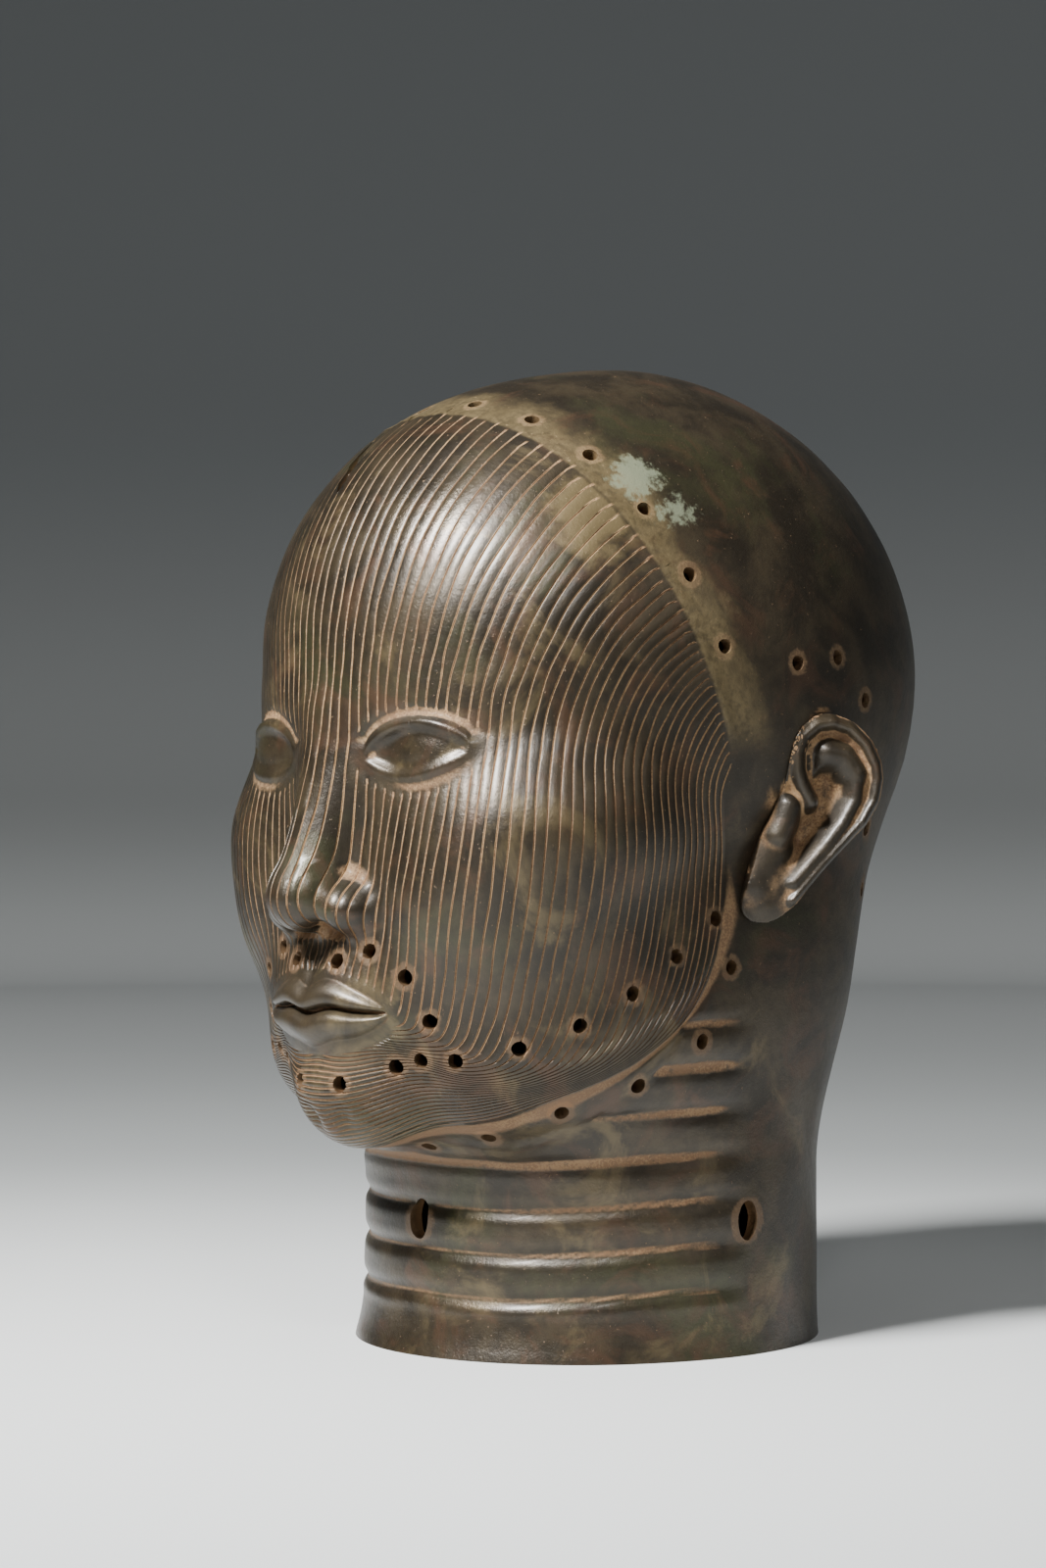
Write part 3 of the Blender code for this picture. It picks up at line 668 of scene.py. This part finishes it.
def along_line(line, pitch):
    """evenly spaced places on the head under a smooth line of azimuths and elevations"""
    line = np.array(line, float)
    t = np.linspace(0, 1, 240)
    ray = direction(through(line[:, 0], t), through(line[:, 1], t))
    return spaced(meet(np.zeros_like(ray) + np.array([0, 0, EYE_OF_ROWS]), ray), pitch)


def along_hairline(pitch):
    """places just behind the hairline, from the crown to the temple"""
    turn = np.radians(np.linspace(0, 97, 240))
    level = 190.0
    depth = HAIRLINE_BACK - HAIRLINE_DEPTH + HAIRLINE_SLOPE * (HAIRLINE_TOP - level)
    rise = np.array([0, -HAIRLINE_SLOPE, 1]) / math.hypot(HAIRLINE_SLOPE, 1)
    ray = np.cos(turn)[:, None] * rise + np.sin(turn)[:, None] * np.array([1.0, 0, 0])
    return spaced(meet(np.zeros_like(ray) + np.array([0, depth, level]), ray), pitch)


def on_front(places):
    places = np.array(places, float)
    start = np.stack([places[:, 0], 0 * places[:, 0], places[:, 1]], -1)
    return meet(start, np.zeros_like(start) + np.array([0, -1.0, 0]))


def on_side(places):
    places = np.array(places, float)
    start = np.stack([0 * places[:, 0], places[:, 0], places[:, 1]], -1)
    return meet(start, np.zeros_like(start) + np.array([1.0, 0, 0]))


def line_hole_places():
    """every small pierced hole of both halves: place and outward normal, in head units"""
    halves = np.concatenate([
        along_hairline(HAIRLINE_PITCH), along_line(BEARD_LINE, BEARD_PITCH),
        along_line(JAW_LINE, JAW_PITCH), on_front(LIP_HOLES), on_side(EAR_HOLES),
    ])
    places = np.concatenate([halves, halves * np.array([-1, 1, 1])])
    return places, normals(places)


def neck_hole_places():
    ray = direction(np.array([0.0, 90.0, 180.0, 270.0]), np.zeros(4))
    start = np.zeros_like(ray) + np.array([0, 0, NECK_HOLE_LEVEL])
    return meet(start, ray), ray


def drill(bm, place, normal, width, height, sides, wall):
    """one straight cutter through the wall, from 4 mm outside it"""
    outside = 4 * MILLIMETRE
    depth = outside + wall * 2.5
    aim = Vector(normal)
    middle = Vector(place) * UNIT + aim * (outside - depth / 2)
    turn = aim.to_track_quat("Z", "Y").to_matrix().to_4x4()
    size = Matrix.Diagonal((width / 2, height / 2, 1, 1))
    made = bmesh.ops.create_cone(
        bm, cap_ends=True, segments=sides, radius1=1, radius2=1, depth=depth,
        matrix=Matrix.Translation(middle) @ turn @ size,
    )
    for v in made["verts"]:
        v.co += 0.00035 * noise.noise_vector(v.co / 0.004)


def tear(bm, wall):
    """the split in the forehead: a ragged outline pushed through the wall"""
    place = onto(np.array([TEAR_MIDDLE], float), form, 8)
    normal = Vector(normals(place)[0])
    turn = normal.to_track_quat("Z", "Y").to_matrix().to_4x4()
    turn = turn @ Matrix.Rotation(math.radians(TEAR_TURN), 4, "Z")
    verts = [bm.verts.new(Vector((across, along, 0)) * UNIT) for along, across in TEAR_OUTLINE]
    face = bm.faces.new(verts)
    reach = wall * 2.2
    pushed = bmesh.ops.extrude_face_region(bm, geom=[face])["geom"]
    moved = [part for part in pushed if isinstance(part, bmesh.types.BMVert)]
    bmesh.ops.translate(bm, verts=moved, vec=(0, 0, -2 * reach))
    bmesh.ops.translate(bm, verts=verts + moved, vec=(0, 0, reach))
    bmesh.ops.transform(bm, matrix=Matrix.Translation(Vector(place[0]) * UNIT) @ turn, verts=verts + moved)


def hole_cutters(settings):
    bm = bmesh.new()
    for place, normal in zip(*line_hole_places()):
        drill(bm, place, normal, settings.line_hole, settings.line_hole, LINE_HOLE_SIDES, settings.wall)
    for place, normal in zip(*neck_hole_places()):
        size = (settings.neck_hole_width, settings.neck_hole_height)
        drill(bm, place, normal, *size, NECK_HOLE_SIDES, settings.wall)
    tear(bm, settings.wall)
    bmesh.ops.recalc_face_normals(bm, faces=bm.faces[:])
    return add_object("hole cutters", bm)


def add_boolean(piece, operation, cutter):
    change = piece.modifiers.new(f"{operation.lower()} {cutter.name}", "BOOLEAN")
    change.operation = operation
    change.object = cutter
    change.solver = "EXACT"


def applied(piece, name):
    """the piece with its modifiers worked into a mesh of its own"""
    shaped = piece.evaluated_get(bpy.context.evaluated_depsgraph_get())
    mesh = bpy.data.meshes.new_from_object(shaped)
    mesh.name = name
    done = bpy.data.objects.new(name, mesh)
    bpy.context.scene.collection.objects.link(done)
    return done


def write_attribute(mesh, name, values):
    layer = mesh.attributes.get(name) or mesh.attributes.new(name, "FLOAT", "POINT")
    layer.data.foreach_set("value", np.asarray(values, np.float32))


def clear_marks(mesh, names, where):
    """takes the skin's marks off the pieces joined on to it"""
    for name in names:
        values = np.zeros(len(mesh.vertices), np.float32)
        mesh.attributes[name].data.foreach_get("value", values)
        values[where] = 0
        mesh.attributes[name].data.foreach_set("value", values)


def read_points(mesh, collection="vertices", field="co"):
    values = np.zeros(len(mesh.vertices) * 3, np.float32)
    getattr(mesh, collection).foreach_get(field, values)
    return values.reshape(-1, 3).astype(float)


def smoothed(values, edges, passes):
    count = np.bincount(edges.ravel(), minlength=len(values))
    for _ in range(passes):
        total = np.bincount(edges[:, 0], values[edges[:, 1]], len(values))
        total = total + np.bincount(edges[:, 1], values[edges[:, 0]], len(values))
        values = 0.5 * values + 0.5 * total / np.maximum(count, 1)
    return values


def hollowness(mesh, passes=7):
    """how far each vertex lies under the skin smoothed round it, in millimetres; below 0 on crests"""
    p = read_points(mesh)
    n = read_points(mesh, "vertex_normals", "vector")
    edges = np.zeros(len(mesh.edges) * 2, np.int32)
    mesh.edges.foreach_get("vertices", edges)
    edges = edges.reshape(-1, 2)
    level = np.stack([smoothed(p[:, k], edges, passes) for k in range(3)], -1)
    return smoothed(((level - p) * n).sum(1) / MILLIMETRE, edges, 2)


def mark_skin(piece, shift):
    """per-vertex values that the patina reads"""
    mesh = piece.data
    p = (read_points(mesh) - np.array([0, shift, 0])) / UNIT
    on_ear = (form(p) > 1.0) & (np.abs(p[:, 0]) > 50)
    clear_marks(mesh, ("line", "joint"), on_ear | (core_form(p) < 0.3))
    near = np.zeros(len(p))
    holes = (*line_hole_places(), LINE_HOLE_RIM), (*neck_hole_places(), NECK_HOLE_RIM)
    for places, axes, radius in holes:
        for place, axis in zip(places, axes):
            q = p - place
            off = length(q - (q @ axis)[:, None] * axis)
            ring = bump(np.maximum(off - radius - 0.8, 0), 1.6) * step(q @ axis, -1.6, -0.4)
            near = np.maximum(near, ring * (np.abs(q @ axis) < 9))
    write_attribute(mesh, "hole", near)
    write_attribute(mesh, "inside", step(-core_form(p), -1.2, -0.4))
    eye = ((np.abs(p[:, 0]) - EYE_OUT) / 14) ** 2 + ((p[:, 2] - EYE_LEVEL) / 5.5) ** 2
    bare = (1 - step(eye, 0.7, 1.2)) * step(-p[:, 1], 60, 75)
    throat = (1 - step(p[:, 2], 66, 84)) * 0.17
    write_attribute(mesh, "hollow", ear_hollows(p, hollowness(mesh)) - 0.5 * bare - throat)


class Wire:
    """a shader output that takes arithmetic; an expression on wires adds its Math nodes"""

    def __init__(self, paint, socket):
        self.paint = paint
        self.socket = socket

    def math(self, operation, *others):
        sockets = {0: self, **dict(enumerate(others, 1))}
        return self.paint.node("ShaderNodeMath", {"operation": operation}, sockets)

    def __add__(self, other):
        return self.math("ADD", other)

    __radd__ = __add__

    def __sub__(self, other):
        return self.math("SUBTRACT", other)

    def __rsub__(self, other):
        return self.paint.node("ShaderNodeMath", {"operation": "SUBTRACT"}, {0: other, 1: self})

    def __mul__(self, other):
        return self.math("MULTIPLY", other)

    __rmul__ = __mul__

class Paint:
    """makes the nodes of one material"""

    def __init__(self, name):
        self.material = bpy.data.materials.new(name)
        self.material.use_nodes = True
        self.tree = self.material.node_tree
        self.shader = self.tree.nodes["Principled BSDF"]

    def node(self, kind, settings=None, sockets=None, output=0):
        """a node of any type, with its settings, then the values or links of its sockets"""
        made = self.tree.nodes.new(kind)
        for name, value in (settings or {}).items():
            setattr(made, name, value)
        for name, value in (sockets or {}).items():
            self.set(made.inputs[name], value)
        return Wire(self, made.outputs[output])

    def set(self, socket, value):
        if isinstance(value, Wire):
            self.tree.links.new(value.socket, socket)
        elif socket.type == "RGBA":
            socket.default_value = (*value[:3], 1)
        else:
            socket.default_value = value

    def attribute(self, name):
        return self.node("ShaderNodeAttribute", {"attribute_name": name}, output=2)

    def fade(self, value, low, high):
        """0 below low and 1 above high, smooth between them; the other way round where low is above high"""
        start, end = (0.0, 1.0) if low < high else (1.0, 0.0)
        low, high = min(low, high), max(low, high)
        return self.node(
            "ShaderNodeMapRange", {"interpolation_type": "SMOOTHSTEP"},
            {"Value": value, "From Min": low, "From Max": high, "To Min": start, "To Max": end},
        )

    def noise(self, where, scale, detail=4.0, roughness=0.55, distortion=0.0):
        return self.node(
            "ShaderNodeTexNoise", None,
            {"Vector": where, "Scale": scale, "Detail": detail, "Roughness": roughness,
             "Distortion": distortion},
        )

    def mix(self, factor, a, b):
        return self.node("ShaderNodeMix", {"data_type": "RGBA"}, {0: factor, 6: a, 7: b}, output=2)

    def clamp(self, value):
        return self.node("ShaderNodeClamp", None, {"Value": value})

    def vector(self, operation, *values):
        output = 1 if operation in ("DISTANCE", "LENGTH", "DOT_PRODUCT") else 0
        return self.node("ShaderNodeVectorMath", {"operation": operation}, dict(enumerate(values)), output)


def bronze_patina(colours, shift):
    """dark, mottled bronze with earth in its lines, holes and hollows; in the deepest hollows the earth
    turns to rust colour as painted shade
    """
    paint = Paint("dark cast bronze")
    place = paint.node("ShaderNodeTexCoord", output=3)
    place = paint.vector("SUBTRACT", place, (0, shift, 0))
    units = paint.vector("SCALE", place)
    units.socket.node.inputs["Scale"].default_value = 1 / UNIT
    split = paint.node("ShaderNodeSeparateXYZ", None, {0: units})
    y, z = (Wire(paint, split.socket.node.outputs[k]) for k in (1, 2))
    line = paint.attribute("line")
    hole = paint.attribute("hole")
    inside = paint.attribute("inside")
    hollow = paint.attribute("hollow")
    joint = paint.attribute("joint")

    broad = paint.noise(units, 0.022, 5.0, 0.6, 0.4)
    cloud = paint.noise(units, 0.06, 6.0, 0.62, 0.3)
    grain = paint.noise(units, 0.45, 6.0, 0.65)
    fine = paint.noise(units, 1.6, 4.0, 0.6)
    behind = y + HAIRLINE_DEPTH - HAIRLINE_SLOPE * (HAIRLINE_TOP - z)

    colour = paint.mix(paint.fade(cloud, 0.38, 0.66), colours.dark, colours.warm)
    colour = paint.mix(paint.fade(broad, 0.52, 0.68) * 0.7, colour, colours.green)
    colour = paint.mix(paint.fade(grain, 0.45, 0.72) * 0.45, colour, colours.dark)
    face = paint.fade(behind, 0.5, -1.5)
    worn = paint.fade(paint.vector("DISTANCE", units, (27, -88, 238)), 26.0, 6.0)
    scalp = 1 - face

    red = paint.fade(paint.noise(units, 0.05, 5.0, 0.6, 1.2), 0.5, 0.7) * 0.6
    colour = paint.mix(red, colour, colours.red)

    crest = paint.fade(hollow, -0.03, -0.22)
    dip = paint.fade(hollow + (grain - 0.5) * 0.12, 0.05, 0.26)
    powder = paint.clamp(dip * paint.fade(grain, 0.2, 0.5) * 1.1)
    edge = behind + (cloud - 0.5) * 34.0 + (grain - 0.5) * 8.0
    band = paint.fade(behind, -0.6, 0.8) * paint.fade(edge, 19.0, 8.0) * paint.fade(z, 168.0, 182.0)
    band = band * (0.35 + paint.fade(grain, 0.3, 0.62) * 0.4)
    olive = paint.vector("DISTANCE", units, (58, -56, 236)) + (cloud - 0.5) * 30.0
    olive = paint.fade(olive, 15.0, 9.0) * face * 0.75
    colour = paint.mix(olive, colour, colours.ochre)
    blotch = paint.fade(paint.noise(units, 0.034, 5.0, 0.65, 0.8), 0.54, 0.68) * face * 0.35
    colour = paint.mix(blotch, colour, colours.ochre)
    halo = paint.fade(hole + (cloud - 0.5) * 1.6 + (grain - 0.5) * 0.6, 0.5, 0.95)
    in_line = paint.fade(line + (grain - 0.5) * 0.4, 0.18, 0.52) * (1 - worn * 0.45)
    colour = paint.mix(band, colour, colours.ochre)
    seam = paint.fade(joint + (cloud - 0.5) * 0.9, 0.35, 0.8) * 0.7
    speck = paint.fade(paint.noise(units, 0.9, 3.0, 0.7), 0.66, 0.74) * 0.5
    earth = paint.clamp(in_line * 0.85 + powder * 0.8 + halo * 0.35 + seam + speck)
    # which earth turns to the rust colour: at random, more towards the bottom, and in the deepest hollows
    # as painted shade
    low = paint.fade(z, 165.0, 100.0) * 0.45 + paint.fade(hollow, 0.35, 0.8) * 0.8
    darker_tone_and_deep_shade = paint.clamp(paint.fade(fine + cloud - 0.5, 0.35, 0.65) + low)
    tan = paint.mix(darker_tone_and_deep_shade, colours.earth, colours.rust)
    colour = paint.mix(earth, colour, tan)

    upper = paint.vector("DISTANCE", units, (60, -39, 248))
    lower = paint.vector("DISTANCE", units, (69, -31, 237)) + 1.5
    patch = upper.math("MINIMUM", lower) + (cloud - 0.5) * 18.0 + (grain - 0.5) * 16.0
    pale = paint.fade(patch, 7.6, 3.4)
    colour = paint.mix(pale * 0.75, colour, colours.pale)
    colour = paint.mix(inside * 0.9, colour, colours.rust)

    metal = paint.clamp(1.0 - earth * 0.95 - pale - inside)
    rough = 0.36 + grain * 0.16 + earth * 0.38 + pale * 0.4 + scalp * 0.06
    rough = paint.clamp(rough - crest * 0.08 - worn * 0.10)
    height = fine * 0.35 + grain * 0.65 + earth * grain * 0.8
    relief_bump = paint.node(
        "ShaderNodeBump", None, {"Strength": 0.5, "Distance": 0.00045, "Height": height},
    )
    paint.set(paint.shader.inputs["Base Color"], colour)
    paint.set(paint.shader.inputs["Metallic"], metal * 0.5)
    paint.set(paint.shader.inputs["Coat Weight"], metal * 0.2)
    paint.set(paint.shader.inputs["Coat Roughness"], 0.22)
    paint.set(paint.shader.inputs["Roughness"], rough)
    paint.set(paint.shader.inputs["Normal"], relief_bump)
    return paint.material


def length_property(name, description, default):
    return bpy.props.FloatProperty(
        name=name, description=description, default=default, subtype="DISTANCE", unit="LENGTH",
    )


def colour_property(name, description, default):
    return bpy.props.FloatVectorProperty(
        name=name, description=description, default=default, size=3, subtype="COLOR", min=0, max=1,
    )


class HeadSkinSettings(bpy.types.PropertyGroup):
    """sizes of the casting's skin"""

    wall: length_property("Wall", "Thickness of the bronze", 0.004)
    line_width: length_property("Line width", "Width of each fine line of the face", 0.0009)
    line_depth: length_property("Line depth", "Depth of each fine line of the face", 0.00055)
    line_hole: length_property("Small hole", "Width of the holes along hairline and beard", 0.0046)
    neck_hole_width: length_property("Neck hole width", "Width of the holes in the neck", 0.008)
    neck_hole_height: length_property("Neck hole height", "Height of the holes in the neck", 0.012)


class BronzeColours(bpy.types.PropertyGroup):
    """colours of the patina"""

    dark: colour_property("Dark", "The darkest brown of the metal", (0.019, 0.014, 0.008))
    warm: colour_property("Warm", "The lighter brown of the metal", (0.045, 0.033, 0.018))
    green: colour_property("Green", "Green-black clouds", (0.038, 0.038, 0.016))
    red: colour_property("Red", "Reddish streaks", (0.066, 0.034, 0.018))
    earth: colour_property("Earth", "Pale earth in lines and hollows", (0.300, 0.185, 0.088))
    # the rust colour also serves as painted shade in the deepest hollows
    rust: colour_property("Rust", "Darker earth in lines and hollows", (0.165, 0.088, 0.040))
    ochre: colour_property("Ochre", "The crust behind the hairline", (0.170, 0.126, 0.060))
    pale: colour_property("Pale", "The pale patch behind the hairline", (0.120, 0.138, 0.085))


class StageSettings(bpy.types.PropertyGroup):
    """camera and lights"""

    azimuth: bpy.props.FloatProperty(
        name="Azimuth", description="Turn of the camera from the front, to the head's left",
        default=math.radians(48), subtype="ANGLE", unit="ROTATION",
    )
    distance: length_property("Distance", "Distance of the camera from the neck's middle", 1.1579)
    side: length_property("Side", "Sideways place of the camera", -0.0207)
    height: length_property("Height", "Height of the level camera", 0.1705)
    lens: bpy.props.FloatProperty(name="Lens", description="Focal length in millimetres", default=85.0)


def base_shift():
    """how far the free forms stand forward of the model's own middle, in metres"""
    starts = np.array([[0, 0, NOSE_TIP[0][2]], [0, 0, CRANIUM[0][2]]], float)
    ends = meet(starts, np.array([[0, -1.0, 0], [0, 1, 0]]))
    return -ends[:, 1].mean() * UNIT


class HEAD_OT_skin(bpy.types.Operator):
    """Build the lined skin of the head, hollow and pierced"""

    bl_idname = "bronze_head.skin"
    bl_label = "Skin"

    def execute(self, context):
        settings = context.scene.head_skin
        noise.seed_set(NOISE_SEED)
        bm = shell(*skin_grid(settings))
        refine(bm, at_features, 0.5)
        refine(bm, at_nose, 0.9)
        refine(bm, at_holes, 2.6)
        refine(bm, at_holes, 2.6)
        press_in(bm, settings)
        hand_made(bm)
        blank = add_object("skin blank", bm)
        core_shares = np.linspace(0, 1, CORE_FACE_ROWS + 1)
        core_points = half_grid(core_shares, CORE_ROWS, CORE_AROUND, core_form, 4)
        core_points[-1, :, 2] = -settings.wall / UNIT
        core = add_object("core", shell(core_points))
        tools = [ear(settings, 1), ear(settings, -1), core, hole_cutters(settings)]
        for tool, operation in zip(tools, ("UNION", "UNION", "DIFFERENCE", "DIFFERENCE")):
            add_boolean(blank, operation, tool)
        piece = applied(blank, "bronze_head_skin")
        for leftover in (blank, *tools):
            bpy.data.objects.remove(leftover)
        shift = base_shift()
        piece.data.transform(Matrix.Translation((0, shift, 0)))
        piece.data.shade_smooth()
        piece.data.set_sharp_from_angle(angle=math.radians(58))
        mark_skin(piece, shift)
        piece.modifiers.new("even shading", "WEIGHTED_NORMAL").keep_sharp = True
        piece.data.materials.clear()
        piece.data.materials.append(bronze_patina(context.scene.bronze_colours, shift))
        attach(piece, "root")
        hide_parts(NODE)
        return {"FINISHED"}


class HEAD_OT_stage(bpy.types.Operator):
    """Build the pale floor and its backdrop, the lights and the camera"""

    bl_idname = "bronze_head.stage"
    bl_label = "Stage"

    def execute(self, context):
        add_camera(context.scene.head_stage)
        add_floor()
        add_lights(context.scene.head_stage)
        return {"FINISHED"}


def view_axes(settings):
    """level unit vectors: towards the camera, and to its right"""
    a = settings.azimuth
    return Vector((math.sin(a), -math.cos(a), 0)), Vector((math.cos(a), math.sin(a), 0))


def add_camera(settings):
    back, right = view_axes(settings)
    data = bpy.data.cameras.new("camera")
    data.lens = settings.lens
    data.sensor_width = 36
    camera = bpy.data.objects.new("camera", data)
    bpy.context.scene.collection.objects.link(camera)
    camera.location = right * settings.side + back * settings.distance
    camera.location += Vector((0, base_shift(), settings.height))
    camera.rotation_euler = (math.pi / 2, 0, settings.azimuth)
    bpy.context.scene.camera = camera


def add_floor():
    """a round floor that sweeps up into a wall on every side, with a painted pool of light near the head"""
    bm = bmesh.new()
    profile = [Vector((away, 0, 0)) for away in (0, 0.5, 1.2, FLOOR_RADIUS)]
    for turn in np.radians(np.linspace(7.5, 90, 12)):
        away = FLOOR_RADIUS + FLOOR_CORNER * math.sin(turn)
        profile.append(Vector((away, 0, FLOOR_CORNER * (1 - math.cos(turn)))))
    profile.append(Vector((FLOOR_RADIUS + FLOOR_CORNER, 0, BACKDROP_HEIGHT)))
    verts = [bm.verts.new(place) for place in profile]
    edges = [bm.edges.new(pair) for pair in zip(verts, verts[1:])]
    bmesh.ops.spin(
        bm, geom=verts + edges, cent=(0, 0, 0), axis=(0, 0, 1), angle=2 * math.pi, steps=96, use_merge=True,
    )
    bmesh.ops.remove_doubles(bm, verts=bm.verts[:], dist=0.0001)
    bmesh.ops.recalc_face_normals(bm, faces=bm.faces[:])
    floor = add_object("floor", bm)
    floor.data.shade_smooth()
    floor.data.materials.append(floor_with_painted_light())


def floor_with_painted_light():
    """painted light and shade: a painted pool of light near the head, greyer with distance, paler again far
    out as painted light against the lamps' fall-off, and painted shade that goes dark up the wall
    """
    paint = Paint("floor with painted light")
    place = paint.node("ShaderNodeTexCoord", output=3)
    split = paint.node("ShaderNodeSeparateXYZ", None, {0: place})
    height = Wire(paint, split.socket.node.outputs[2])
    away = paint.vector("LENGTH", paint.vector("MULTIPLY", place, (1, 1, 0)))
    # painted light: a pool of it near the head, and paler again far out against the lamps' fall-off
    colour = paint.mix(paint.fade(away, 0.10, 0.62), (0.90, 0.92, 0.91), (0.47, 0.49, 0.485))
    colour = paint.mix(paint.fade(away, 0.9, 1.9), colour, (0.64, 0.66, 0.655))
    # painted shade: dimmer up the corner and dark up the wall
    colour = paint.mix(paint.fade(height, -0.10, 0.17), colour, (0.180, 0.188, 0.186))
    colour = paint.mix(paint.fade(height, 0.12, 0.55), colour, (0.085, 0.092, 0.094))
    paint.set(paint.shader.inputs["Base Color"], colour)
    paint.set(paint.shader.inputs["Roughness"], 0.75)
    return paint.material


def add_lamp(name, settings, place, size, power):
    """a soft round lamp that looks at the head"""
    back, right = view_axes(settings)
    data = bpy.data.lights.new(name, "AREA")
    data.shape = "DISK"
    data.size = size
    data.energy = power
    lamp = bpy.data.objects.new(name, data)
    bpy.context.scene.collection.objects.link(lamp)
    lamp.location = right * place[0] + back * place[1] + Vector((0, 0, place[2]))
    lamp.rotation_euler = (Vector(LAMPS_AIM) - lamp.location).to_track_quat("-Z", "Y").to_euler()


def add_lights(settings):
    for name, lamp in LAMPS.items():
        add_lamp(name, settings, *lamp)
    world = bpy.data.worlds.new("soft room")
    world.use_nodes = True
    background = world.node_tree.nodes["Background"]
    background.inputs["Color"].default_value = ROOM_COLOUR
    background.inputs["Strength"].default_value = ROOM_STRENGTH
    bpy.context.scene.world = world


class HEAD_PT_panel(bpy.types.Panel):
    """Sizes, colours and steps of the cast head"""

    bl_idname = "HEAD_PT_panel"
    bl_label = "Bronze head"
    bl_space_type = "VIEW_3D"
    bl_region_type = "UI"
    bl_category = "Bronze head"

    def draw(self, context):
        for group in (context.scene.head_skin, context.scene.bronze_colours, context.scene.head_stage):
            for name in group.bl_rna.properties.keys():
                if name not in ("rna_type", "name"):
                    self.layout.prop(group, name)
        self.layout.operator(HEAD_OT_skin.bl_idname)
        self.layout.operator(HEAD_OT_stage.bl_idname)


CLASSES = (HeadSkinSettings, BronzeColours, StageSettings, HEAD_OT_skin, HEAD_OT_stage, HEAD_PT_panel)


def register():
    for cls in CLASSES:
        bpy.utils.register_class(cls)
    bpy.types.Scene.head_skin = bpy.props.PointerProperty(type=HeadSkinSettings)
    bpy.types.Scene.bronze_colours = bpy.props.PointerProperty(type=BronzeColours)
    bpy.types.Scene.head_stage = bpy.props.PointerProperty(type=StageSettings)


def unregister():
    del bpy.types.Scene.head_skin
    del bpy.types.Scene.bronze_colours
    del bpy.types.Scene.head_stage
    for cls in reversed(CLASSES):
        bpy.utils.unregister_class(cls)


def main():
    register()
    bpy.ops.bronze_head.skin()
    bpy.ops.bronze_head.stage()
    bpy.context.view_layer.update()


if __name__ == "__main__":
    main()
